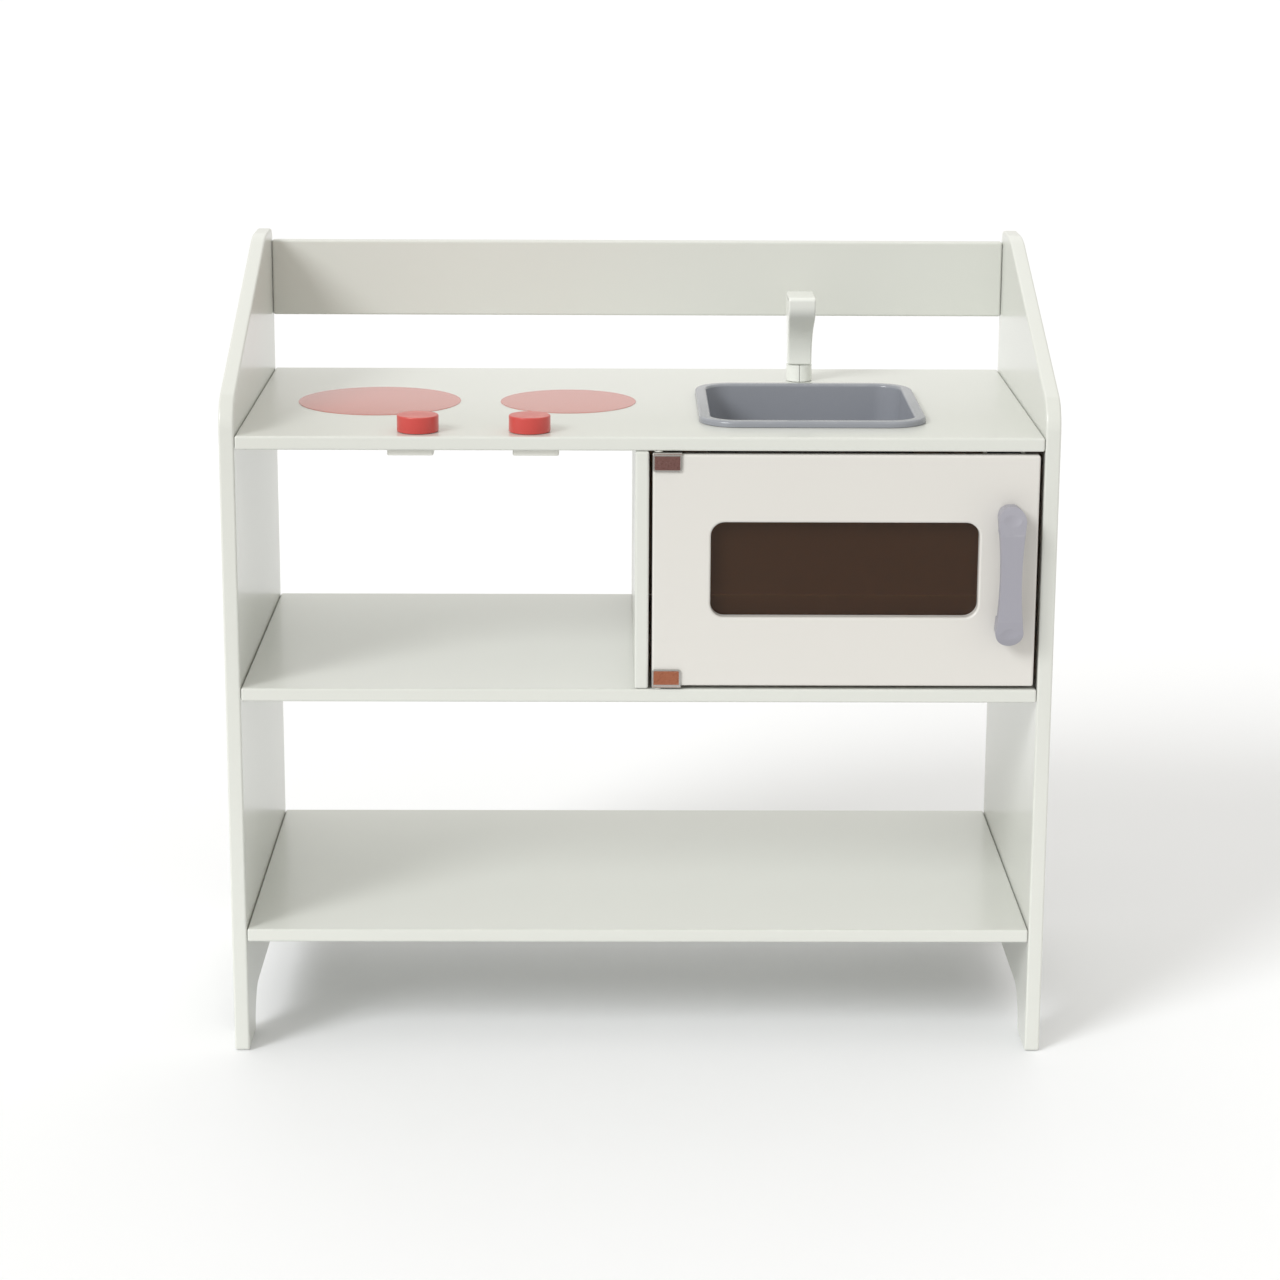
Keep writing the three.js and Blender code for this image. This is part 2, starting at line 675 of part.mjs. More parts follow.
function tapWasher() {
  const bore = TAP_SCREW.shank / 2 + SCREW_CLEARANCE;
  return ring(bore, TAP_WASHER_DIAMETER / 2, TAP_WASHER_BOTTOM, TAP_WASHER_TOP, SEGMENTS_AXLE);
}

// ---- Door: the group stands at the door's front lower left corner -----------------------------

const WINDOW = {
  left: STILE_WIDTH,
  right: DOOR_LENGTH - STILE_WIDTH,
  bottom: RAIL_BELOW_WINDOW,
  top: DOOR_HEIGHT - RAIL_ABOVE_WINDOW,
};
const HANDLE_X = DOOR_LENGTH - HANDLE_INSET;
const HANDLE_Z = DOOR_HEIGHT / 2;
const STRIKE_X = DOOR_LENGTH - CATCH_FROM_SIDE - CATCH_LENGTH / 2;
const STRIKE_Z = DOOR_HEIGHT - STRIKE_HEIGHT / 2 - STRIKE_INSET;
const DOOR_REAR = DOOR_THICKNESS + JOINT_GAP;
const PANE_REAR = DOOR_REAR + PANE_THICKNESS;

function windowFrame(grow) {
  return [WINDOW.left - grow, WINDOW.bottom - grow, WINDOW.right + grow, WINDOW.top + grow];
}

function paneScrews() {
  const [x0, z0, x1, z1] = windowFrame(PANE_SCREW_INSET);
  const places = {
    lower_left: [x0, z0],
    lower_right: [x1, z0],
    upper_left: [x0, z1],
    upper_right: [x1, z1],
  };
  const y = PANE_REAR - SCREW_SUNK;
  return Object.entries(places).map(([corner, [x, z]]) =>
    [`pane_screw_${corner}`, screwAt(PANE_SCREW, x, y, z, 'back')]);
}

function handleScrews() {
  const reach = (HANDLE_LENGTH - HANDLE_FOOT) / 2;
  const y = DOOR_THICKNESS + SCREW_SUNK;
  return [['lower', -reach], ['upper', reach]].map(([end, offset]) =>
    [`handle_screw_${end}`, screwAt(HANDLE_SCREW, HANDLE_X, y, HANDLE_Z + offset, 'back')]);
}

const PANE_SCREWS = paneScrews();
const HANDLE_SCREWS = handleScrews();
const STRIKE_SCREW_PLACE = screwAt(
  STRIKE_SCREW,
  STRIKE_X,
  DOOR_REAR + STRIKE_THICKNESS - SCREW_SUNK,
  STRIKE_Z,
  'back',
);
const DOOR_SCREWS = [...PANE_SCREWS, ...HANDLE_SCREWS, ['strike_screw', STRIKE_SCREW_PLACE]];

function doorPanel() {
  const panel = pulledBack(rectangle(0, 0, DOOR_LENGTH, DOOR_HEIGHT, DOOR_RADIUS), 0, DOOR_THICKNESS);
  const opening = pulledBack(
    rectangle(...windowFrame(0), WINDOW_RADIUS),
    -CUT_MARGIN,
    DOOR_THICKNESS + CUT_MARGIN,
  );
  return cut(panel, [opening, ...DOOR_SCREWS.map(([, screw]) => screw.hole)]);
}

function windowPane() {
  const sheet = pulledBack(rectangle(...windowFrame(PANE_LAP), PANE_RADIUS), DOOR_REAR, PANE_REAR);
  return cut(sheet, PANE_SCREWS.map(([, screw]) => screw.hole));
}

// The handle's front view: round ends with a narrower waist between them.
function handleFace() {
  const end = HANDLE_WIDTH / 2;
  const waist = HANDLE_WAIST / 2;
  const half = HANDLE_LENGTH / 2;
  const shape = new THREE.Shape();
  shape.moveTo(end, end - half);
  shape.quadraticCurveTo(2 * waist - end, 0, end, half - end);
  shape.absarc(0, half - end, end, 0, Math.PI, false);
  shape.quadraticCurveTo(end - 2 * waist, 0, -end, end - half);
  shape.absarc(0, end - half, end, Math.PI, 2 * Math.PI, false);
  return shape;
}

// The handle's side view in y and z: two feet and a bar that stands clear of the door.
function handleSide() {
  const half = HANDLE_LENGTH / 2;
  const inner = half - HANDLE_FOOT;
  const tip = HANDLE_TIP_DROP;
  return roundedOutline([
    [-HANDLE_RAISE, -half, HANDLE_HEEL_RADIUS],
    [-HANDLE_RAISE, -inner, 0],
    [HANDLE_BAR - HANDLE_REACH, -inner, HANDLE_INNER_RADIUS],
    [HANDLE_BAR - HANDLE_REACH, inner, HANDLE_INNER_RADIUS],
    [-HANDLE_RAISE, inner, 0],
    [-HANDLE_RAISE, half, HANDLE_HEEL_RADIUS],
    [tip - HANDLE_REACH, half, HANDLE_TIP_RADIUS],
    [-HANDLE_REACH, half - HANDLE_FOOT, HANDLE_FACE_RADIUS],
    [-HANDLE_REACH, HANDLE_FOOT - half, HANDLE_FACE_RADIUS],
    [tip - HANDLE_REACH, -half, HANDLE_TIP_RADIUS],
  ]);
}

function bowHandle() {
  const front = pulledBack(handleFace(), -HANDLE_REACH - CUT_MARGIN, CUT_MARGIN);
  const side = pulledAcross(handleSide(), -HANDLE_WIDTH, HANDLE_WIDTH);
  const bow = toGeometry(toSolid(front).intersect(toSolid(side)));
  bow.translate(HANDLE_X, 0, HANDLE_Z);
  return cut(bow, holesOf(HANDLE_SCREWS.map(([, screw]) => screw)));
}

// The clip's upright plates and the plate that joins them over the door's edge.
// It is drawn for the upper corner, with z = 0 at the door's top edge.
function cornerClip() {
  const front = -CLIP_SLACK - CLIP_PLATE;
  const rear = DOOR_THICKNESS + CLIP_SLACK + CLIP_PLATE;
  const top = CLIP_SLACK + CLIP_PLATE;
  const whole = block([0, front, top - CLIP_HEIGHT], [CLIP_LENGTH, rear, top]);
  const doorSpace = block(
    [-CUT_MARGIN, -CLIP_SLACK, top - CLIP_HEIGHT - CUT_MARGIN],
    [CLIP_LENGTH + CUT_MARGIN, DOOR_THICKNESS + CLIP_SLACK, CLIP_SLACK],
  );
  const pinHole = rod(PIN_DIAMETER / 2 + PIN_FIT, 0, top + CUT_MARGIN, SEGMENTS_AXLE);
  pinHole.translate(PIVOT_X, PIVOT_Y, 0);
  return cut(whole, [doorSpace, pinHole]);
}

function hingePin() {
  return rod(PIN_DIAMETER / 2, CLIP_SLACK, DOOR_GAP_ENDS + PIN_REACH, SEGMENTS_AXLE)
    .translate(PIVOT_X, PIVOT_Y, 0);
}

// Flanged tube pressed into the board above the door, z = 0 at the door's top edge.
const BUSH_BORE = PIN_DIAMETER / 2 + PIN_PLAY;
const BUSH_OUTER = BUSH_BORE + BUSH_WALL;
const BUSH_TOP = DOOR_GAP_ENDS + PIN_REACH;

function hingeBush() {
  const flangeTop = DOOR_GAP_ENDS - JOINT_GAP / 2;
  const flangeBottom = flangeTop - BUSH_FLANGE;
  return turned([
    [BUSH_BORE, flangeBottom],
    [BUSH_OUTER + BUSH_FLANGE_LIP, flangeBottom],
    [BUSH_OUTER + BUSH_FLANGE_LIP, flangeTop],
    [BUSH_OUTER, flangeTop],
    [BUSH_OUTER, BUSH_TOP],
    [BUSH_BORE, BUSH_TOP],
    [BUSH_BORE, flangeBottom],
  ], SEGMENTS_AXLE).translate(PIVOT_X, PIVOT_Y, 0);
}

function bushHole() {
  return rod(BUSH_OUTER + JOINT_GAP, DOOR_GAP_ENDS - CUT_MARGIN, BUSH_TOP + JOINT_GAP, SEGMENTS_AXLE)
    .translate(PIVOT_X, PIVOT_Y, 0);
}

// Turns a hinge piece drawn for the upper corner into the lower corner's.
// A half turn about the front-to-back line would swap left and right, so it is mirrored instead.
function mirroredInZ(geometry) {
  const solid = toSolid(geometry).mirror([0, 0, 1]);
  return toGeometry(solid);
}

const HINGE_ENDS = {
  upper: { place: (geometry) => geometry, z: DOOR_BOTTOM + DOOR_HEIGHT },
  lower: { place: mirroredInZ, z: DOOR_BOTTOM },
};

// A hinge piece in the place of the end it belongs to.
function hingePiece(end, geometry) {
  const { place, z } = HINGE_ENDS[end];
  return place(geometry).translate(DOOR_LEFT, 0, z);
}

function strikePlate() {
  const plate = pulledBack(
    rectangle(
      STRIKE_X - STRIKE_LENGTH / 2,
      STRIKE_Z - STRIKE_HEIGHT / 2,
      STRIKE_X + STRIKE_LENGTH / 2,
      STRIKE_Z + STRIKE_HEIGHT / 2,
      STRIKE_RADIUS,
    ),
    DOOR_REAR,
    DOOR_REAR + STRIKE_THICKNESS,
  );
  return cut(plate, [STRIKE_SCREW_PLACE.hole]);
}

// ---- Catch: a magnet in a housing under the worktop ------------------------------------------

const CATCH_X = DOOR_LEFT + STRIKE_X;
const CATCH_TOP = WORKTOP_BOTTOM - JOINT_GAP;
const MAGNET_FRONT = DOOR_REAR + STRIKE_THICKNESS + JOINT_GAP;
const CATCH_FRONT = MAGNET_FRONT + MAGNET_PROUD;

function magnetSpace(grow) {
  const half = CATCH_LENGTH / 2 - CATCH_WALL - MAGNET_SIDE_ROOM;
  const bottom = CATCH_TOP - CATCH_HEIGHT + CATCH_WALL;
  const rear = CATCH_FRONT + CATCH_DEPTH - CATCH_WALL;
  return [
    [CATCH_X - half - grow, grow ? CATCH_FRONT - CUT_MARGIN : MAGNET_FRONT, bottom - grow],
    [CATCH_X + half + grow, rear + grow, CATCH_TOP - CATCH_WALL + grow],
  ];
}

function catchHousing() {
  const shell = block(
    [CATCH_X - CATCH_LENGTH / 2, CATCH_FRONT, CATCH_TOP - CATCH_HEIGHT],
    [CATCH_X + CATCH_LENGTH / 2, CATCH_FRONT + CATCH_DEPTH, CATCH_TOP],
  );
  return cut(shell, [block(...magnetSpace(JOINT_GAP))]);
}

// ---- Assembly -------------------------------------------------------------------------------

const kitchen = new THREE.Group();
kitchen.name = 'toy_kitchen';

addPiece(kitchen, 'left_side_panel', sidePanel('left'), LACQUER);
addPiece(kitchen, 'right_side_panel', sidePanel('right'), LACQUER);

const worktopCuts = [
  sinkCutOut(),
  worktopHole(SINK_X, TAP_Y, TAP_SPINDLE_DIAMETER),
  ...KNOB_X.map((x) => worktopHole(x, KNOB_FROM_FRONT, AXLE_DIAMETER)),
  hingePiece('upper', bushHole()),
];
const middleShelfCuts = [
  ...holesOf(Object.values(DIVIDER_SCREWS)),
  hingePiece('lower', bushHole()),
];
addPiece(kitchen, 'worktop', board(WORKTOP_TOP, worktopCuts, 'worktop'), LACQUER);
addPiece(kitchen, 'middle_shelf', board(MIDDLE_SHELF_TOP, middleShelfCuts, 'middle_shelf'), LACQUER);
addPiece(kitchen, 'bottom_shelf', board(BOTTOM_SHELF_TOP, [], 'bottom_shelf'), LACQUER);

const railBlock = block([-BOARD_HALF, DEPTH - BOARD_THICKNESS, RAIL_BOTTOM], [BOARD_HALF, DEPTH, RAIL_TOP]);
addPiece(kitchen, 'back_rail', cut(railBlock, screwHolesFor('back_rail')), LACQUER);

const ovenFloor = MIDDLE_SHELF_TOP + JOINT_GAP;
const ovenRoof = WORKTOP_BOTTOM - JOINT_GAP;
const dividerBlock = block([DIVIDER_LEFT, 0, ovenFloor], [DIVIDER_RIGHT, DEPTH, ovenRoof]);
const divider = cut(dividerBlock, holesOf(Object.values(DIVIDER_SCREWS)));
addPiece(kitchen, 'divider_panel', divider, LACQUER);
const ovenBack = block(
  [DIVIDER_RIGHT + JOINT_GAP, DEPTH - OVEN_BACK_THICKNESS, ovenFloor],
  [BOARD_HALF, DEPTH, ovenRoof],
);
addPiece(kitchen, 'oven_back_panel', ovenBack, LACQUER);

for (const screws of [SIDE_SCREWS.left, SIDE_SCREWS.right, DIVIDER_SCREWS]) {
  for (const [name, screw] of Object.entries(screws)) addScrew(kitchen, name, screw);
}

const door = new THREE.Group();
door.position.set(DOOR_LEFT, 0, DOOR_BOTTOM);
addPiece(door, 'door_panel', doorPanel(), DOOR_LACQUER);
addPiece(door, 'door_window', windowPane(), SMOKED_ACRYLIC);
addPiece(door, 'door_handle', bowHandle(), HANDLE_PLASTIC);
addPiece(door, 'strike_plate', strikePlate(), STEEL);
for (const [name, screw] of DOOR_SCREWS) addScrew(door, name, screw);
kitchen.add(door);

for (const end of Object.keys(HINGE_ENDS)) {
  addPiece(kitchen, `${end}_hinge_clip`, hingePiece(end, cornerClip()), COPPER_PLATE);
  addPiece(kitchen, `${end}_hinge_pin`, hingePiece(end, hingePin()), STEEL);
  addPiece(kitchen, `${end}_hinge_bush`, hingePiece(end, hingeBush()), WHITE_PLASTIC);
}

addPiece(kitchen, 'catch_housing', catchHousing(), WHITE_PLASTIC);
addPiece(kitchen, 'catch_magnet', block(...magnetSpace(0)), MAGNET_BLACK);

const sink = new THREE.Group();
sink.position.set(SINK_X, SINK_Y, WORKTOP_TOP);
addPiece(sink, 'sink_bowl', sinkBowl(), SINK_PLASTIC);
kitchen.add(sink);

const tap = new THREE.Group();
tap.position.set(SINK_X, TAP_Y, WORKTOP_TOP);
addPiece(tap, 'tap_base_left', tapBaseHalf(-1), WHITE_PLASTIC);
addPiece(tap, 'tap_base_right', tapBaseHalf(1), WHITE_PLASTIC);
addPiece(tap, 'tap_spout', tapSpout(), WHITE_PLASTIC);
addPiece(tap, 'tap_spindle', tapSpindle(), STEEL);
addPiece(tap, 'tap_washer', tapWasher(), STEEL);
addScrew(tap, 'tap_screw', TAP_SCREW_PLACE);
kitchen.add(tap);

addKnob('left', KNOB_X[0], -1);
addKnob('right', KNOB_X[1], 1);

const hobFilm = [HOB_FILM_GAP, HOB_FILM_GAP + HOB_FILM];
for (const [name, diameter, fromSide] of [
  ['left_hob_print', HOB_LARGE_DIAMETER, HOB_LARGE_FROM_SIDE],
  ['right_hob_print', HOB_SMALL_DIAMETER, HOB_SMALL_FROM_SIDE],
]) {
  const print = addPiece(kitchen, name, rod(diameter / 2, ...hobFilm, SEGMENTS_HOB), HOB_PRINT);
  print.position.set(-INNER_HALF + fromSide, HOB_FROM_FRONT, WORKTOP_TOP);
}

// The origin is on the floor under the middle of the whole object, handle included.
kitchen.position.y = -(DEPTH - HANDLE_REACH) / 2;

export default kitchen;
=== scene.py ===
"""Looks of a small painted play kitchen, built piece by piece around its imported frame.

Every length is in metres. Places and sizes come from the frame's own boxes, and what the boxes
do not tell, such as a radius or a slope, is a field of the class that makes the piece.
"""

import json
import logging
import math
from collections.abc import Callable, Iterator, Sequence
from contextlib import contextmanager
from dataclasses import dataclass, field
from enum import Enum

import bmesh
import bpy
from mathutils import Matrix, Vector


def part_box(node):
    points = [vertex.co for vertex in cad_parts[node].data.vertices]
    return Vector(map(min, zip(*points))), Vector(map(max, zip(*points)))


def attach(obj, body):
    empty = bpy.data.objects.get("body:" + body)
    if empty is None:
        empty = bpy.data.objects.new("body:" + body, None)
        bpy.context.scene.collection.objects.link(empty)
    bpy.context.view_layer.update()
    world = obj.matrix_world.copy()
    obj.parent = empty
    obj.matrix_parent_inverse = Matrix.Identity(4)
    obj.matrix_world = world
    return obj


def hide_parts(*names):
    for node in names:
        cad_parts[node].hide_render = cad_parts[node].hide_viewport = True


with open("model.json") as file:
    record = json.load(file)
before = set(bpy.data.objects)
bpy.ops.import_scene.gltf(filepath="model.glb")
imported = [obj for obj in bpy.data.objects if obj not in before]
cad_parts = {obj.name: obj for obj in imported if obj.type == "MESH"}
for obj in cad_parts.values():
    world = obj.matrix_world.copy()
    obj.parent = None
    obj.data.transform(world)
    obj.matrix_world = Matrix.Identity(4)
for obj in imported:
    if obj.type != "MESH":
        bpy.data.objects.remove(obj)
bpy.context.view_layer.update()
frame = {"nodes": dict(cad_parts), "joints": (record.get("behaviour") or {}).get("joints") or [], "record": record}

LOG = logging.getLogger("play_kitchen")
MM = 0.001
EDGE_ATTRIBUTE = "edge"
JOINT_GAP = 0.3 * MM
SPINDLE_HOLE = 4.7 * MM
THROUGH = 0.1

Test = Callable[[Vector, Vector], bool]
Colour = tuple[float, float, float, float]


class Kind(Enum):
    """What an edit-mode selection is made of."""

    VERT = "VERT"
    EDGE = "EDGE"
    FACE = "FACE"


class Axis(Enum):
    """The row frame's axes, by index."""

    X = 0
    Y = 1
    Z = 2


class Body(Enum):
    """The bodies of the frame that pieces ride on."""

    CABINET = "cabinet"
    DOOR = "door"
    LEFT_KNOB = "left_knob_body"
    RIGHT_KNOB = "right_knob_body"
    TAP = "tap_body"
    SINK = "sink_body"


def tint(red: int, green: int, blue: int) -> Colour:
    """A colour given as 0 to 255 display values, as linear light.

    Args:
        red: Display value of red.
        green: Display value of green.
        blue: Display value of blue.

    Returns:
        The linear colour with full alpha.
    """

    def linear(value: int) -> float:
        """One display value as linear light."""
        share = value / 255
        return share / 12.92 if share <= 0.04045 else ((share + 0.055) / 1.055) ** 2.4

    return (linear(red), linear(green), linear(blue), 1.0)


# ---- Modelling moves ------------------------------------------------------------------------


class Bench:
    """The modelling moves that every piece is made with, each on one object at a time."""

    @staticmethod
    def pick(piece: bpy.types.Object) -> None:
        """Makes one object the only selected and active one."""
        bpy.ops.object.select_all(action="DESELECT")
        piece.select_set(True)
        bpy.context.view_layer.objects.active = piece

    @staticmethod
    @contextmanager
    def editing(piece: bpy.types.Object, kind: Kind = Kind.FACE) -> Iterator[None]:
        """Edit mode on one object with nothing selected in it."""
        Bench.pick(piece)
        bpy.ops.object.mode_set(mode="EDIT")
        bpy.ops.mesh.select_mode(type=kind.value)
        bpy.ops.mesh.select_all(action="DESELECT")
        yield
        bpy.ops.object.mode_set(mode="OBJECT")

    @staticmethod
    def choose(piece: bpy.types.Object, kind: Kind, test: Test) -> int:
        """Selects what passes a test, in edit mode.

        Args:
            piece: The object in edit mode.
            kind: Whether vertices, edges or faces are tested.
            test: Gets the item's centre and its normal, or an edge's direction.

        Returns:
            How many items were selected.
        """
        mesh = bmesh.from_edit_mesh(piece.data)
        chosen = 0
        items = {Kind.VERT: mesh.verts, Kind.EDGE: mesh.edges, Kind.FACE: mesh.faces}[kind]
        for item in items:
            if kind is Kind.VERT:
                place, way = item.co, item.normal
            elif kind is Kind.EDGE:
                first, second = (vert.co for vert in item.verts)
                place, way = (first + second) / 2, (second - first).normalized()
            else:
                place, way = item.calc_center_median(), item.normal
            wanted = test(place, way)
            item.select_set(wanted)
            chosen += wanted
        mesh.select_flush_mode()
        bmesh.update_edit_mesh(piece.data)
        return chosen

    @staticmethod
    def name(piece: bpy.types.Object, name: str) -> bpy.types.Object:
        """Names an object and its mesh."""
        piece.name = name
        piece.data.name = name
        return piece

    @staticmethod
    def block(name: str, low: Vector, high: Vector) -> bpy.types.Object:
        """A straight-sided block between two corners, to be shaped further.

        Args:
            name: The object's name.
            low: Its lowest corner.
            high: Its highest corner.

        Returns:
            The new object, with its place in its mesh.
        """
        bpy.ops.object.select_all(action="DESELECT")
        bpy.ops.mesh.primitive_cube_add(size=1, location=(low + high) / 2)
        piece = bpy.context.object
        piece.scale = high - low
        bpy.ops.object.transform_apply(location=True, rotation=True, scale=True)
        return Bench.name(piece, name)

    @staticmethod
    def round_bar(
        name: str, centre: Vector, radius: float, length: float, sides: int, axis: Axis = Axis.Z
    ) -> bpy.types.Object:
        """A round bar about a centre, to be shaped further.

        Args:
            name: The object's name.
            centre: The middle of the bar.
            radius: The bar's radius.
            length: The bar's length along its axis.
            sides: How many sides the round has.
            axis: The axis that the bar lies along.

        Returns:
            The new object, with its place in its mesh.
        """
        turns = {Axis.X: (0, math.pi / 2, 0), Axis.Y: (math.pi / 2, 0, 0), Axis.Z: (0, 0, 0)}
        bpy.ops.object.select_all(action="DESELECT")
        bpy.ops.mesh.primitive_cylinder_add(
            vertices=sides, radius=radius, depth=length, location=centre, rotation=turns[axis]
        )
        bpy.ops.object.transform_apply(location=True, rotation=True, scale=True)
        return Bench.name(bpy.context.object, name)

    @staticmethod
    def round_edges(
        piece: bpy.types.Object, test: Test, radius: float, segments: int, kind: Kind = Kind.EDGE
    ) -> None:
        """Rounds the edges, or the corners of a flat outline, that pass a test.

        Args:
            piece: The object to round.
            test: Gets an edge's middle and direction, or a vertex's place and normal.
            radius: How far the rounding reaches from the old edge.
            segments: How many faces the rounding has.
            kind: Whether edges or the vertices of a flat outline are rounded.
        """
        with Bench.editing(piece, kind):
            if Bench.choose(piece, kind, test):
                bpy.ops.mesh.bevel(
                    offset=radius, offset_type="OFFSET", segments=segments, profile=0.5,
                    affect="VERTICES" if kind is Kind.VERT else "EDGES", clamp_overlap=False,
                )

    @staticmethod
    def round_along(piece: bpy.types.Object, axis: Axis, radius: float, segments: int) -> None:
        """Rounds every edge that runs along an axis."""
        Bench.round_edges(piece, lambda at, way: abs(way[axis.value]) > 0.99, radius, segments)

    @staticmethod
    def extrude(y: float, z: float) -> None:
        """Extrudes what is selected by a distance along Y and Z."""
        bpy.ops.mesh.extrude_region_move(TRANSFORM_OT_translate={"value": (0, y, z)})

    @staticmethod
    def apply(piece: bpy.types.Object, kind: str, **settings: object) -> None:
        """Adds a modifier with its settings and applies it."""
        Bench.pick(piece)
        modifier = piece.modifiers.new(kind.lower(), kind)
        for setting, value in settings.items():
            setattr(modifier, setting, value)
        bpy.ops.object.modifier_apply(modifier=modifier.name)

    @staticmethod
    def soften(
        piece: bpy.types.Object, radius: float, segments: int = 3, angle: float = 30
    ) -> None:
        """Rounds every edge that is sharper than an angle in degrees."""
        Bench.apply(
            piece, "BEVEL", width=radius, segments=segments, limit_method="ANGLE",
            angle_limit=math.radians(angle), use_clamp_overlap=True,
        )

    @staticmethod
    def take_away(piece: bpy.types.Object, cutters: Sequence[bpy.types.Object]) -> None:
        """Cuts shapes out of a piece and throws the shapes away."""
        for cutter in cutters:
            Bench.apply(piece, "BOOLEAN", operation="DIFFERENCE", solver="EXACT", object=cutter)
            bpy.data.objects.remove(cutter)

    @staticmethod
    def slice_off(piece: bpy.types.Object, point: Vector, outward: Vector) -> None:
        """Cuts off all that lies beyond a plane, and closes the cut."""
        with Bench.editing(piece):
            bpy.ops.mesh.select_all(action="SELECT")
            bpy.ops.mesh.bisect(plane_co=point, plane_no=outward, use_fill=True, clear_outer=True)

    @staticmethod
    def copy(piece: bpy.types.Object, name: str, place: Matrix) -> bpy.types.Object:
        """A copy with a mesh of its own, put in its place.

        Args:
            piece: The object to copy.
            name: The copy's name.
            place: Where the copy goes, from the first one's place.

        Returns:
            The copy.
        """
        Bench.pick(piece)
        bpy.ops.object.duplicate(linked=False)
        twin = Bench.name(bpy.context.object, name)
        twin.data.transform(place)
        if place.determinant() < 0:
            Bench.face_out(twin)
        return twin

    @staticmethod
    def face_out(piece: bpy.types.Object) -> None:
        """Merges doubles and turns every face outwards."""
        with Bench.editing(piece):
            bpy.ops.mesh.select_all(action="SELECT")
            bpy.ops.mesh.remove_doubles(threshold=1e-6)
            bpy.ops.mesh.normals_make_consistent(inside=False)

    @staticmethod
    def pull_sections(
        piece: bpy.types.Object, sections: Sequence[tuple[float, float, float, float]]
    ) -> None:
        """Pulls a piece's top face up through a row of sections.

        Args:
            piece: An object whose top face is the first section.
            sections: Height, front, rear and half width of each section, the first included.
        """
        with Bench.editing(piece):
            top = sections[0][0]
            Bench.choose(piece, Kind.FACE, lambda at, way: way.z > 0.9 and at.z > top - MM / 10)
            for before, after in zip(sections, sections[1:]):
                middle = (before[1] + before[2]) / 2
                shift = ((after[1] + after[2]) / 2 - middle, after[0] - before[0])
                depth = (after[2] - after[1]) / (before[2] - before[1])
                width = after[3] / before[3]
                Bench.extrude(*shift)
                bpy.ops.transform.resize(value=(width, depth, 1))

    @staticmethod
    def mark_edges(piece: bpy.types.Object, narrow: float = 1.2 * MM) -> None:
        """Stores 1 at the points that only narrow faces meet at, and 0 at all others.

        Args:
            piece: The object, in the end state of its mesh.
            narrow: The width up to which a face belongs to a rounded edge.
        """
        mesh = piece.data
        wide = set()
        for face in mesh.polygons:
            corners = [mesh.vertices[index].co for index in face.vertices]
            longest = max((a - b).length for a, b in zip(corners, corners[1:] + corners[:1]))
            if face.area > narrow * longest:
                wide.update(face.vertices)
        marks = mesh.attributes.new(EDGE_ATTRIBUTE, "FLOAT", "POINT")
        for index, mark in enumerate(marks.data):
            mark.value = 0.0 if index in wide else 1.0

    @staticmethod
    def smooth(piece: bpy.types.Object, angle: float = 38) -> None:
        """Smooth shading with flat faces kept flat."""
        Bench.pick(piece)
        bpy.ops.object.shade_smooth_by_angle(angle=math.radians(angle))
        Bench.apply(piece, "WEIGHTED_NORMAL", keep_sharp=True, weight=90)


# ---- Shader groups --------------------------------------------------------------------------


class Wiring:
    """Adds and joins the nodes of one shader tree."""

    def __init__(self, tree: bpy.types.NodeTree) -> None:
        """Takes the tree to work in."""
        self.tree = tree

    def add(self, kind: str, **values: object) -> bpy.types.Node:
        """Adds a node, sets its properties, and sets or joins its inputs.

        Args:
            kind: The node's type name.
            values: Properties by name, and inputs by name with underscores for spaces. An
                output as a value is joined to the input.

        Returns:
            The new node.
        """
        node = self.tree.nodes.new(kind)
        for name, value in values.items():
            if hasattr(node, name):
                setattr(node, name, value)
                continue
            key = int(name[3:]) if name.startswith("in_") else name.replace("_", " ")
            socket = node.inputs[key]
            if isinstance(value, bpy.types.NodeSocket):
                self.tree.links.new(value, socket)
            else:
                socket.default_value = value
        return node

    def mix(self, factor: object, first: object, second: object) -> bpy.types.NodeSocket:
        """Mixes two colours by a factor."""
        node = self.add("ShaderNodeMix", data_type="RGBA")
        for index, value in ((0, factor), (6, first), (7, second)):
            if isinstance(value, bpy.types.NodeSocket):
                self.tree.links.new(value, node.inputs[index])
            else:
                node.inputs[index].default_value = value
        return node.outputs[2]

    def sum(self, first: object, second: object, share: float) -> bpy.types.NodeSocket:
        """A value plus a share of another."""
        node = self.add("ShaderNodeMath", operation="MULTIPLY_ADD", in_0=second, in_1=share)
        node.inputs[2].default_value = 0
        self.tree.links.new(first, node.inputs[2])
        return node.outputs[0]

    def product(self, first: object, second: object) -> bpy.types.NodeSocket:
        """Two values multiplied."""
        return self.add("ShaderNodeMath", operation="MULTIPLY", in_0=first, in_1=second).outputs[0]

    def band(
        self, value: object, low: float, high: float, to_low: float = 0, to_high: float = 1
    ) -> bpy.types.NodeSocket:
        """A value's range from low to high spread smoothly over another range, and clamped."""
        node = self.add(
            "ShaderNodeMapRange", interpolation_type="SMOOTHSTEP", in_0=value, in_1=low, in_2=high,
            in_3=to_low, in_4=to_high,
        )
        return node.outputs[0]


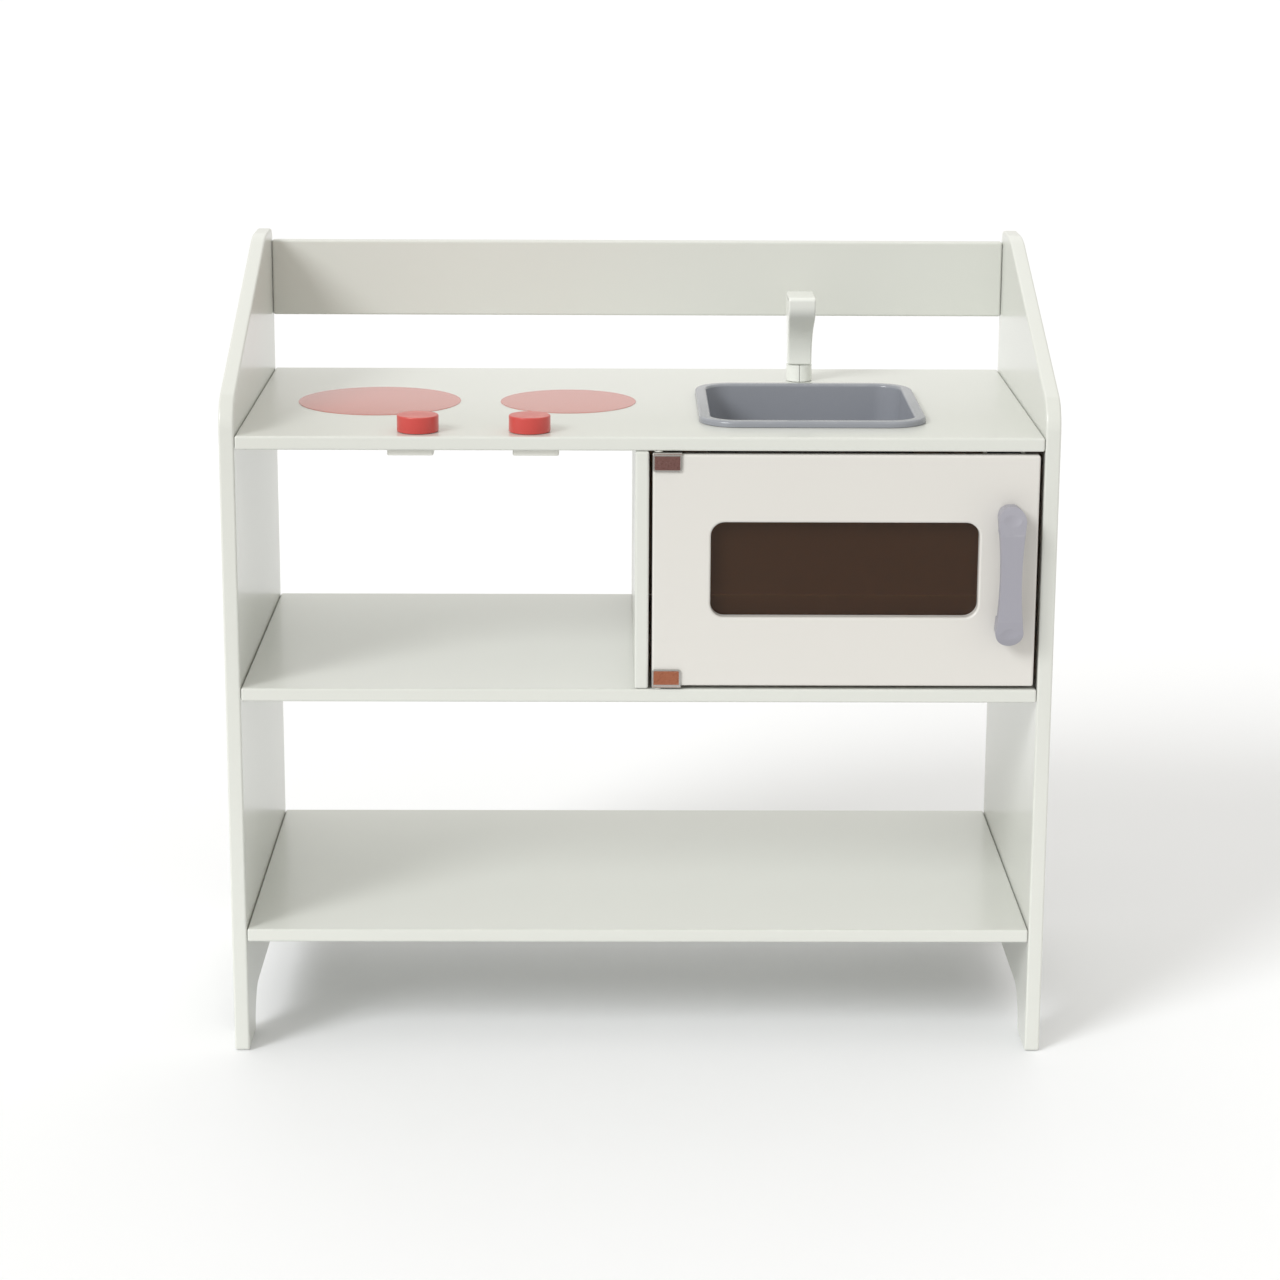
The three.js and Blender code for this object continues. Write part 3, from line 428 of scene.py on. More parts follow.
class Effects:
    """The surface effects that several finishes share, each one built once as a group."""

    made: dict[str, bpy.types.NodeTree] = {}

    @classmethod
    def group(
        cls, name: str, inputs: Sequence[tuple[str, float]], outputs: Sequence[str]
    ) -> tuple[Wiring, bpy.types.Node, bpy.types.Node]:
        """A new node group with a vector input, numbers and number outputs.

        Args:
            name: The group's name.
            inputs: Each number input's name and default.
            outputs: Each number output's name.

        Returns:
            The group's wiring, its input node and its output node.
        """
        tree = bpy.data.node_groups.new(name, "ShaderNodeTree")
        tree.interface.new_socket("Vector", in_out="INPUT", socket_type="NodeSocketVector")
        for label, value in inputs:
            socket = tree.interface.new_socket(label, in_out="INPUT", socket_type="NodeSocketFloat")
            socket.default_value = value
        for label in outputs:
            tree.interface.new_socket(label, in_out="OUTPUT", socket_type="NodeSocketFloat")
        wiring = Wiring(tree)
        cls.made[name] = tree
        return wiring, wiring.add("NodeGroupInput"), wiring.add("NodeGroupOutput")

    @classmethod
    def peel(cls) -> bpy.types.NodeTree:
        """Sprayed or moulded skin: a fine height, and a broad cloudy tone."""
        if "peel" in cls.made:
            return cls.made["peel"]
        wire, source, sink = cls.group(
            "peel", [("Scale", 700.0), ("Cloud Scale", 3.0)], ["Height", "Tone"]
        )
        vector = source.outputs["Vector"]
        fine = wire.add(
            "ShaderNodeTexNoise", Vector=vector, Scale=source.outputs["Scale"], Detail=2.0
        )
        coarse_scale = wire.product(source.outputs["Scale"], 0.17)
        coarse = wire.add("ShaderNodeTexNoise", Vector=vector, Scale=coarse_scale, Detail=1.0)
        cloud = wire.add(
            "ShaderNodeTexNoise", Vector=vector, Scale=source.outputs["Cloud Scale"], Detail=3.0
        )
        height = wire.sum(fine.outputs[0], coarse.outputs[0], 1.6)
        wire.tree.links.new(height, sink.inputs["Height"])
        wire.tree.links.new(wire.band(cloud.outputs[0], 0, 1), sink.inputs["Tone"])
        return wire.tree

    @classmethod
    def rub(cls) -> bpy.types.NodeTree:
        """Rubbed edges: a broken mask along the piece's stored edges."""
        if "rub" in cls.made:
            return cls.made["rub"]
        wire, source, sink = cls.group("rub", [("Scale", 90.0), ("Amount", 0.5)], ["Mask"])
        marks = wire.add("ShaderNodeAttribute", attribute_name=EDGE_ATTRIBUTE)
        patch = wire.add(
            "ShaderNodeTexNoise", Vector=source.outputs["Vector"], Scale=source.outputs["Scale"],
            Detail=4.0, Roughness=0.65,
        )
        broken = wire.band(patch.outputs[0], 0.45, 0.7)
        edge = wire.band(marks.outputs["Fac"], 0.35, 0.95)
        mask = wire.product(wire.product(edge, broken), source.outputs["Amount"])
        wire.tree.links.new(mask, sink.inputs["Mask"])
        return wire.tree

    @classmethod
    def dust(cls) -> bpy.types.NodeTree:
        """Specks and faint scuffs: sparse dots of random size, and long thin marks."""
        if "dust" in cls.made:
            return cls.made["dust"]
        wire, source, sink = cls.group("dust", [("Scale", 60.0)], ["Specks", "Scuffs"])
        vector = source.outputs["Vector"]
        cells = wire.add("ShaderNodeTexVoronoi", Vector=vector, Scale=source.outputs["Scale"])
        dots = wire.band(cells.outputs["Distance"], 0.02, 0.075, 1, 0)
        split = wire.add("ShaderNodeSeparateColor", Color=cells.outputs["Color"])
        chosen = wire.band(split.outputs[0], 0.86, 0.9)
        wire.tree.links.new(wire.product(dots, chosen), sink.inputs["Specks"])
        stretch = wire.add("ShaderNodeMapping", Vector=vector, Scale=(9.0, 70.0, 40.0))
        stretch.inputs["Rotation"].default_value = (0.4, 0.3, 0.5)
        marks = wire.add("ShaderNodeTexNoise", Vector=stretch.outputs[0], Scale=1.0, Detail=3.0)
        wire.tree.links.new(wire.band(marks.outputs[0], 0.3, 1), sink.inputs["Scuffs"])
        return wire.tree


# ---- Finishes -------------------------------------------------------------------------------


@dataclass(frozen=True)
class Finish:
    """A sprayed or moulded opaque finish with its own skin, tone, edges and dust."""

    name: str
    slot: str
    colour: Colour
    shade: Colour
    edge: Colour
    roughness: float
    spread: float = 0.05
    peel_scale: float = 700.0
    peel_height: float = 0.00002
    rub: float = 0.35
    specks: float = 0.1
    coat: float = 0.0
    coat_roughness: float = 0.1
    metallic: float = 0.0
    specular: float = 0.5

    def vector(self, wire: Wiring) -> bpy.types.NodeSocket:
        """The coordinates that the finish's patterns follow."""
        return wire.add("ShaderNodeTexCoord").outputs["Object"]

    def height(self, wire: Wiring, vector: object, skin: object) -> bpy.types.NodeSocket:
        """The height that the surface's bump is made from."""
        return skin

    def tone(self, wire: Wiring, vector: object, colour: object) -> bpy.types.NodeSocket:
        """The colour after any pattern of the finish's own."""
        return colour

    def material(self) -> bpy.types.Material:
        """The finish as a material, made at its first use.

        Returns:
            The material.
        """
        known = bpy.data.materials.get(self.name)
        if known:
            return known
        material = bpy.data.materials.new(self.name)
        material.use_nodes = True
        material.node_tree.nodes.clear()
        wire = Wiring(material.node_tree)
        vector = self.vector(wire)
        peel = wire.add("ShaderNodeGroup", node_tree=Effects.peel(), Vector=vector)
        peel.inputs["Scale"].default_value = self.peel_scale
        rub = wire.add("ShaderNodeGroup", node_tree=Effects.rub(), Vector=vector)
        rub.inputs["Amount"].default_value = self.rub
        dust = wire.add("ShaderNodeGroup", node_tree=Effects.dust(), Vector=vector)
        colour = wire.mix(peel.outputs["Tone"], self.colour, self.shade)
        colour = self.tone(wire, vector, colour)
        colour = wire.mix(rub.outputs["Mask"], colour, self.edge)
        specks = wire.product(dust.outputs["Specks"], self.specks)
        colour = wire.mix(specks, colour, self.edge)
        rough = self.roughness
        if self.spread:
            low, high = self.roughness - self.spread, self.roughness + self.spread
            rough = wire.band(peel.outputs["Tone"], 0, 1, low, high)
            rough = wire.sum(rough, dust.outputs["Scuffs"], self.spread / 5)
        bump = wire.add("ShaderNodeBump", Strength=1.0, Distance=self.peel_height)
        skin = self.height(wire, vector, peel.outputs["Height"])
        wire.tree.links.new(skin, bump.inputs["Height"])
        shader = wire.add(
            "ShaderNodeBsdfPrincipled", Base_Color=colour, Roughness=rough, Metallic=self.metallic,
            Normal=bump.outputs[0],
        )
        shader.inputs["Coat Weight"].default_value = self.coat
        shader.inputs["Coat Roughness"].default_value = self.coat_roughness
        shader.inputs["Specular IOR Level"].default_value = self.specular
        wire.add("ShaderNodeOutputMaterial", Surface=shader.outputs[0])
        return material


@dataclass(frozen=True)
class TurnedPaint(Finish):
    """Paint on a turned piece, with the faint rings that the lathe leaves."""

    centre: tuple[float, float, float] = (0.0, 0.0, 0.0)
    ring_scale: float = 260.0
    ring_share: float = 0.5

    def height(self, wire: Wiring, vector: object, skin: object) -> bpy.types.NodeSocket:
        """The skin with rings about the piece's own axis."""
        moved = wire.add("ShaderNodeMapping", Vector=vector)
        moved.inputs["Location"].default_value = [-value for value in self.centre]
        rings = wire.add(
            "ShaderNodeTexWave", wave_type="RINGS", rings_direction="Z", Vector=moved.outputs[0],
            Scale=self.ring_scale, Distortion=1.5,
        )
        return wire.sum(skin, rings.outputs["Fac"], self.ring_share)


@dataclass(frozen=True)
class BrushedMetal(Finish):
    """Metal with fine lines along one way."""

    stretch: tuple[float, float, float] = (30.0, 900.0, 900.0)
    line_share: float = 1.2

    def height(self, wire: Wiring, vector: object, skin: object) -> bpy.types.NodeSocket:
        """The skin with long thin lines."""
        mapped = wire.add("ShaderNodeMapping", Vector=vector, Scale=self.stretch)
        lines = wire.add("ShaderNodeTexNoise", Vector=mapped.outputs[0], Scale=1.0, Detail=4.0)
        return wire.sum(skin, lines.outputs[0], self.line_share)


@dataclass(frozen=True)
class SpeckledPlate(Finish):
    """Plated sheet with fine dark specks in its face, and bright specks painted in as glints."""

    speck_scale: float = 1500.0
    speck: Colour = (0.05, 0.02, 0.015, 1.0)
    glint: Colour = (0.6, 0.4, 0.3, 1.0)

    def tone(self, wire: Wiring, vector: object, colour: object) -> bpy.types.NodeSocket:
        """The colour with dark specks and painted glints."""
        grains = wire.add("ShaderNodeTexNoise", Vector=vector, Scale=self.speck_scale, Detail=2.0)
        dark = wire.band(grains.outputs[0], 0.6, 0.7, 0, 0.75)
        # The bright specks are painted glints, mixed into the base colour.
        bright = wire.band(grains.outputs[0], 0.36, 0.28, 0, 0.5)
        return wire.mix(bright, wire.mix(dark, colour, self.speck), self.glint)


@dataclass(frozen=True)
class SmokedSheet(Finish):
    """Clear tinted sheet that shows what is behind it."""

    ior: float = 1.46

    def material(self) -> bpy.types.Material:
        """The sheet as a material, made at its first use."""
        known = bpy.data.materials.get(self.name)
        if known:
            return known
        material = bpy.data.materials.new(self.name)
        material.use_nodes = True
        material.node_tree.nodes.clear()
        wire = Wiring(material.node_tree)
        vector = self.vector(wire)
        peel = wire.add("ShaderNodeGroup", node_tree=Effects.peel(), Vector=vector)
        peel.inputs["Scale"].default_value = self.peel_scale
        colour = wire.mix(peel.outputs["Tone"], self.colour, self.shade)
        dust = wire.add("ShaderNodeGroup", node_tree=Effects.dust(), Vector=vector)
        rough = wire.band(dust.outputs["Scuffs"], 0, 1, self.roughness, self.roughness + 0.05)
        bump = wire.add("ShaderNodeBump", Strength=1.0, Distance=self.peel_height)
        wire.tree.links.new(peel.outputs["Tone"], bump.inputs["Height"])
        shader = wire.add(
            "ShaderNodeBsdfPrincipled", Base_Color=colour, Roughness=rough, Normal=bump.outputs[0]
        )
        shader.inputs["Metallic"].default_value = 0.0
        shader.inputs["Transmission Weight"].default_value = 0.92
        shader.inputs["IOR"].default_value = self.ior
        wire.add("ShaderNodeOutputMaterial", Surface=shader.outputs[0])
        return material


class Finishes:
    """Every finish of this kitchen."""

    LACQUER = Finish(
        name="satin_lacquer", slot="body_lacquer", colour=tint(217, 219, 213),
        shade=tint(214, 215, 209), edge=tint(226, 226, 221), roughness=0.3, spread=0.0,
        peel_scale=420.0, peel_height=0.0000003, coat=0.25, coat_roughness=0.12,
    )
    DOOR = Finish(
        name="door_lacquer_warm", slot="door_lacquer", colour=tint(219, 217, 212),
        shade=tint(216, 213, 208), edge=tint(227, 224, 219), roughness=0.34, spread=0.0,
        peel_scale=420.0, peel_height=0.0000003, coat=0.2, coat_roughness=0.15,
    )
    PRINT = Finish(
        name="hob_ink", slot="hob_print", colour=tint(192, 89, 72), shade=tint(186, 83, 67),
        edge=tint(210, 126, 108), roughness=0.22, peel_scale=1400.0, peel_height=0.000008,
        coat=0.44, coat_roughness=0.08, specks=0.2,
    )
    SINK = Finish(
        name="moulded_blue_grey", slot="sink_plastic", colour=tint(146, 149, 156),
        shade=tint(141, 144, 152), edge=tint(170, 172, 177), roughness=0.22, peel_scale=1800.0,
        peel_height=0.000008, coat=0.15, coat_roughness=0.1, rub=0.25,
    )
    HANDLE = Finish(
        name="moulded_lavender_grey", slot="handle_plastic", colour=tint(159, 158, 167),
        shade=tint(154, 153, 163), edge=tint(186, 185, 191), roughness=0.46, peel_scale=1600.0,
        peel_height=0.00001, rub=0.3,
    )
    WHITE_PLASTIC = Finish(
        name="moulded_white", slot="white_plastic", colour=tint(228, 228, 222),
        shade=tint(224, 224, 217), edge=tint(236, 236, 231), roughness=0.42, peel_scale=1500.0,
        peel_height=0.00001,
    )
    TAP = Finish(
        name="tap_lacquer", slot="tap_paint", colour=tint(232, 234, 229), shade=tint(229, 231, 225),
        edge=tint(238, 239, 235), roughness=0.3, peel_scale=800.0, peel_height=0.000012, coat=0.25,
    )
    STEEL = BrushedMetal(
        name="zinc_plated_steel", slot="steel", colour=tint(190, 190, 188),
        shade=tint(176, 177, 178), edge=tint(214, 214, 212), roughness=0.34, metallic=1.0,
        peel_height=0.00001,
    )
    # Painted shade: the upper clip is the same plated sheet as the lower one, painted darker and mauve, with
    # dimmer glints, for the shade under the worktop's overhang.
    CLIP_UPPER = SpeckledPlate(
        name="copper_plate_shaded", slot="hinge_plating", colour=tint(136, 98, 92),
        shade=tint(118, 92, 92), edge=tint(190, 184, 182), roughness=0.34, metallic=0.75,
        peel_height=0.00001, specks=0.5, glint=(0.4, 0.3, 0.28, 1.0),
    )
    CLIP_LOWER = SpeckledPlate(
        name="copper_plate", slot="hinge_plating", colour=tint(178, 112, 84),
        shade=tint(164, 98, 74), edge=tint(205, 200, 196), roughness=0.38, metallic=0.75,
        peel_height=0.00001, specks=0.5,
    )
    CLIP_RIM = BrushedMetal(
        name="nickel_rim", slot="hinge_plating", colour=tint(196, 194, 190),
        shade=tint(180, 178, 176), edge=tint(222, 221, 219), roughness=0.28, metallic=1.0,
        peel_height=0.000008,
    )
    MAGNET = Finish(
        name="sintered_magnet", slot="magnet", colour=tint(52, 52, 55), shade=tint(40, 40, 43),
        edge=tint(96, 96, 98), roughness=0.6, peel_scale=2500.0, peel_height=0.00003, metallic=0.4,
    )
    PANE = SmokedSheet(
        name="smoked_acrylic_sheet", slot="smoked_acrylic", colour=tint(166, 124, 92),
        shade=tint(152, 106, 74), edge=tint(158, 112, 78), roughness=0.03, peel_scale=40.0,
        peel_height=0.000004,
    )

    @staticmethod
    def knob(name: str, centre: Vector) -> TurnedPaint:
        """Red paint for one knob, with its rings about that knob's axis."""
        return TurnedPaint(
            name=name, slot="red_paint", colour=tint(201, 74, 68), shade=tint(194, 66, 61),
            edge=tint(222, 118, 104), roughness=0.33, peel_scale=900.0, peel_height=0.000012,
            coat=0.2, coat_roughness=0.2, rub=0.5, centre=tuple(centre),
        )


# ---- What every sub-assembly does -------------------------------------------------------------


@dataclass
class Assembly:
    """A sub-assembly of the kitchen: it makes its pieces, then dresses and reports them."""

    body: Body = Body.CABINET

    def dress(
        self, piece: bpy.types.Object, finish: Finish, *nodes: str, body: Body | None = None
    ) -> bpy.types.Object:
        """Finishes a piece: normals, edges, material, body and the nodes it stands for.

        Args:
            piece: The modelled object.
            finish: Its finish.
            nodes: The frame's nodes that it stands for.
            body: The body that it rides on, if not the assembly's own.

        Returns:
            The piece.
        """
        Bench.mark_edges(piece)
        Bench.smooth(piece)
        if not piece.data.materials:
            piece.data.materials.append(finish.material())
        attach(piece, (body or self.body).value)
        if nodes:
            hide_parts(*nodes)
        LOG.info("%s: %d faces, for %s", piece.name, len(piece.data.polygons), ", ".join(nodes))
        return piece

    @staticmethod
    def paint_node(node: str, finish: Finish) -> None:
        """Gives a frame node that stays its material."""
        piece = frame["nodes"][node]
        piece.data.materials.clear()
        piece.data.materials.append(finish.material())
        LOG.info("%s: kept, with %s", node, finish.name)


@dataclass
class Screws(Assembly):
    """Countersunk screws with a hex socket: one of each kind is modelled, the rest are copies."""

    sides: int = 24
    rim: float = 0.35 * MM
    thread_pitch: float = 1.8 * MM
    thread_depth: float = 0.35 * MM
    socket_share: float = 0.45
    socket_depth: float = 1.5 * MM
    shank_share: float = 0.48
    fit: float = 0.98
    gap: float = 0.25 * MM
    slack: float = 8 * MM

    def pattern(self, head: float, shank: float, length: float) -> bpy.types.Object:
        """One screw along Z with its head's top at the origin.

        Args:
            head: The head's diameter.
            shank: The shank's diameter.
            length: The length from head to tip.

        Returns:
            The screw.
        """
        radius = head / 2
        cone = radius - shank / 2
        screw = Bench.round_bar(
            "screw", Vector((0, 0, -self.rim / 2)), radius, self.rim, self.sides
        )
        with Bench.editing(screw):
            Bench.choose(screw, Kind.FACE, lambda at, way: way.z < -0.9)
            self.step(-cone, shank / head)
            core = 1 - 2 * self.thread_depth / shank
            turns = int((length - cone - self.rim) / self.thread_pitch) - 2
            for _ in range(turns):
                self.step(-self.thread_pitch * 0.3, core)
                self.step(-self.thread_pitch * 0.4, 1)
                self.step(-self.thread_pitch * 0.3, 1 / core)
            tip = length - cone - self.rim - turns * self.thread_pitch
            self.step(-tip, 0.25)
        with Bench.editing(screw):
            Bench.choose(screw, Kind.FACE, lambda at, way: way.z > 0.9)
            bpy.ops.mesh.inset(thickness=radius * 0.12, depth=0)
        recess = Bench.round_bar("recess", Vector(), radius * self.socket_share, 0.01, 6)
        recess.data.transform(Matrix.Translation((0, 0, 0.005 - self.socket_depth)))
        Bench.take_away(screw, [recess])
        return screw

    @staticmethod
    def step(rise: float, size: float) -> None:
        """Extrudes the selected face along Z and resizes it."""
        Bench.extrude(0, rise)
        bpy.ops.transform.resize(value=(size, size, 1))

    def build(self) -> None:
        """Makes every screw of the kitchen in its node's place."""
        kinds: dict[tuple[int, int], bpy.types.Object] = {}
        for node in self.nodes(""):
            head, length, place = self.placing(node)
            key = (round(head / MM * 10), round(length / MM * 10))
            if key not in kinds:
                kinds[key] = self.pattern(head, head * self.shank_share, length)
            screw = Bench.copy(kinds[key], f"{node}_cut", place)
            body = next(
                body for body in Body if node in frame["record"]["behaviour"]["bodies"][body.value]
            )
            self.dress(screw, Finishes.STEEL, node, body=body)
        for pattern in kinds.values():
            bpy.data.objects.remove(pattern)

    @staticmethod
    def nodes(*prefixes: str) -> list[str]:
        """The names of all screw nodes that start with one of some prefixes."""
        return sorted(
            node for node in frame["nodes"] if "_screw" in node and node.startswith(prefixes)
        )

    def placing(self, node: str) -> tuple[float, float, Matrix]:
        """A screw's sizes and place, from its node's box.

        Args:
            node: The screw's node.

        Returns:
            The head's diameter, the length, and the place of a screw drawn head up at the
            origin.
        """
        low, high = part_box(node)
        size = high - low
        way, outward = self.heading(node)
        head = max(size[index] for index in range(3) if index != way.value)
        top = (low + high) / 2
        top[way.value] = high[way.value] if outward > 0 else low[way.value]
        turn = {
            Axis.X: Matrix.Rotation(outward * math.pi / 2, 4, "Y"),
            Axis.Y: Matrix.Rotation(-outward * math.pi / 2, 4, "X"),
            Axis.Z: Matrix.Rotation(0 if outward > 0 else math.pi, 4, "X"),
        }[way]
        return head * self.fit, size[way.value], Matrix.Translation(top) @ turn

    def holes(self, *prefixes: str) -> list[bpy.types.Object]:
        """Countersunk shapes to cut out of what the screws of some prefixes go through.

        Args:
            prefixes: What the screws' names start with.

        Returns:
            One shape for each screw.
        """
        shapes = []
        for node in self.nodes(*prefixes):
            head, length, place = self.placing(node)
            radius = head / 2 + self.gap
            core = head * self.shank_share / 2 + self.gap
            middle = Vector((0, 0, self.slack / 2))
            shape = Bench.round_bar("hole", middle, radius, self.slack, self.sides)
            with Bench.editing(shape):
                Bench.choose(shape, Kind.FACE, lambda at, way: way.z < -0.9)
                self.step(core - radius - self.rim, core / radius)
                self.step(radius - core - length, 1)
            shape.data.transform(place)
            shapes.append(shape)
        return shapes

    @staticmethod
    def heading(node: str) -> tuple[Axis, int]:
        """The axis that a screw lies along, and the side its head faces."""
        if node.startswith(("pane", "handle", "strike")):
            return Axis.Y, 1
        if node.startswith(("divider", "tap")):
            return Axis.Z, -1
        return Axis.X, -1 if "left" in node else 1


@dataclass
class Carcass(Assembly):
    """The painted boards: side panels, worktop, shelves, rail, divider and oven back."""

    edge_radius: float = 1.7 * MM
    thin_radius: float = 0.6 * MM
    slope: float = math.radians(19.8)
    top_flat: float = 50 * MM
    top_front_radius: float = 70 * MM
    top_back_radius: float = 9 * MM
    shoulder_radius: float = 25 * MM
    foot_length: float = 45 * MM
    foot_height: float = 30 * MM
    foot_radius: float = 3.5 * MM
    arch_radius: float = 26 * MM
    hole_sides: int = 32
    bush_lip: float = 0.8 * MM
    axle_hole: float = 3.6 * MM
    corner_segments: int = 10
    slack: float = 20 * MM
    boards: dict[str, tuple[str, Axis]] = field(
        default_factory=lambda: {
            "middle_shelf": ("shelf_middle_board", Axis.Z),
            "bottom_shelf": ("shelf_bottom_board", Axis.Z), "back_rail": ("rail_board", Axis.Y),
            "divider_panel": ("divider_board", Axis.X),
            "oven_back_panel": ("oven_back_board", Axis.Y),
        }
    )

    def build(self) -> None:
        """Makes all boards."""
        for side in ("left", "right"):
            self.side_panel(side)
        self.worktop()
        for node, (name, axis) in self.boards.items():
            board = Bench.block(name, *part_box(node))
            thin = node == "oven_back_panel"
            Bench.soften(board, self.thin_radius if thin else self.edge_radius, 4)
            Bench.take_away(board, self.cuts(node))
            self.dress(board, Finishes.LACQUER, node)

    def cuts(self, node: str) -> list[bpy.types.Object]:
        """What is cut out of a board: its screws' holes, and the hinge's bush hole if any."""
        prefixes = [f"{node}_screw"]
        if node in ("middle_shelf", "divider_panel"):
            prefixes.append("divider_screw")
        shapes = Screws().holes(*prefixes)
        bush = {"worktop": "upper_hinge_bush", "middle_shelf": "lower_hinge_bush"}.get(node)
        if bush:
            low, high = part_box(bush)
            middle = (low + high) / 2
            radius = (high.x - low.x) / 2 - self.bush_lip + JOINT_GAP
            length = high.z - low.z + 2 * JOINT_GAP
            shapes.append(Bench.round_bar("hole", middle, radius, length, self.hole_sides))
        return shapes

    @staticmethod
    def tangent(radius: float, angle: float) -> float:
        """How far from a corner of that inner angle an arc of that radius starts."""
        return radius / math.tan(angle / 2)

    def side_panel(self, side: str) -> bpy.types.Object:
        """One side panel with its slope, rounded shoulder, arch and screw holes."""
        node = f"{side}_side_panel"
        low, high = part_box(node)
        panel = Bench.block(f"panel_{side}", low, high)
        brow = Vector((low.x, high.y - self.top_flat, high.z))
        Bench.slice_off(panel, brow, Vector((0, -math.sin(self.slope), math.cos(self.slope))))

        def along_x(place: Vector, way: Vector) -> bool:
            """Whether an edge runs across the panel's thickness."""
            return abs(way.x) > 0.99

        right = math.pi / 2
        corners: list[tuple[Test, float]] = [
            (lambda at, way: at.y < low.y + MM and at.z > low.z + MM,
             self.tangent(self.shoulder_radius, right + self.slope)),
            (lambda at, way: abs(at.y - brow.y) < MM and at.z > high.z - MM,
             self.tangent(self.top_front_radius, math.pi - self.slope)),
            (lambda at, way: at.y > high.y - MM and at.z > high.z - MM, self.top_back_radius),
            (lambda at, way: at.z < low.z + MM, self.foot_radius),
        ]
        for test, reach in corners:
            Bench.round_edges(
                panel, lambda at, way, test=test: along_x(at, way) and test(at, way), reach,
                self.corner_segments,
            )
        Bench.take_away(panel, [self.arch(low, high)])
        inner_feet = (low.y + self.foot_length, high.y - self.foot_length)
        Bench.round_edges(
            panel,
            lambda at, way: along_x(at, way)
            and at.z < low.z + MM
            and min(abs(at.y - foot) for foot in inner_feet) < MM,
            self.foot_radius,
            6,
        )
        Bench.soften(panel, self.edge_radius, 4, angle=40)
        boards = ("worktop", "middle_shelf", "bottom_shelf", "back_rail")
        cuts = [f"{board}_screw_{side}" for board in boards]
        Bench.take_away(panel, Screws().holes(*cuts))
        return self.dress(panel, Finishes.LACQUER, node)

    def arch(self, low: Vector, high: Vector) -> bpy.types.Object:
        """The shape of the opening between a panel's feet."""
        start = Vector((low.x - self.slack, low.y + self.foot_length, low.z - self.slack))
        end = Vector((high.x + self.slack, high.y - self.foot_length, low.z + self.foot_height))
        shape = Bench.block("arch", start, end)
        Bench.round_edges(
            shape, lambda at, way: abs(way.x) > 0.99 and at.z > low.z, self.arch_radius,
            self.corner_segments,
        )
        return shape

    def worktop(self) -> bpy.types.Object:
        """The worktop with the holes for the sink, the tap and the two axles."""
        low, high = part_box("worktop")
        board = Bench.block("worktop_board", low, high)
        Bench.soften(board, self.edge_radius, 4)
        sink_low, sink_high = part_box("sink_bowl")
        sink = SinkBowl()
        inset = Vector((sink.lip, sink.lip, 0))
        start, end = sink_low + inset, sink_high - inset
        opening = Bench.block(
            "sink_opening", Vector((start.x, start.y, low.z - self.slack)),
            Vector((end.x, end.y, high.z + self.slack)),
        )
        Bench.round_along(opening, Axis.Z, sink.body_radius, self.corner_segments)
        cutters = [opening, *self.cuts("worktop")]
        for node in ("left_knob_axle", "right_knob_axle", "tap_spindle"):
            first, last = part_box(node)
            radius = SPINDLE_HOLE if node == "tap_spindle" else self.axle_hole
            middle = (first + last) / 2
            cutters.append(Bench.round_bar("hole", middle, radius, THROUGH, self.hole_sides))
        Bench.take_away(board, cutters)
        return self.dress(board, Finishes.LACQUER, "worktop")


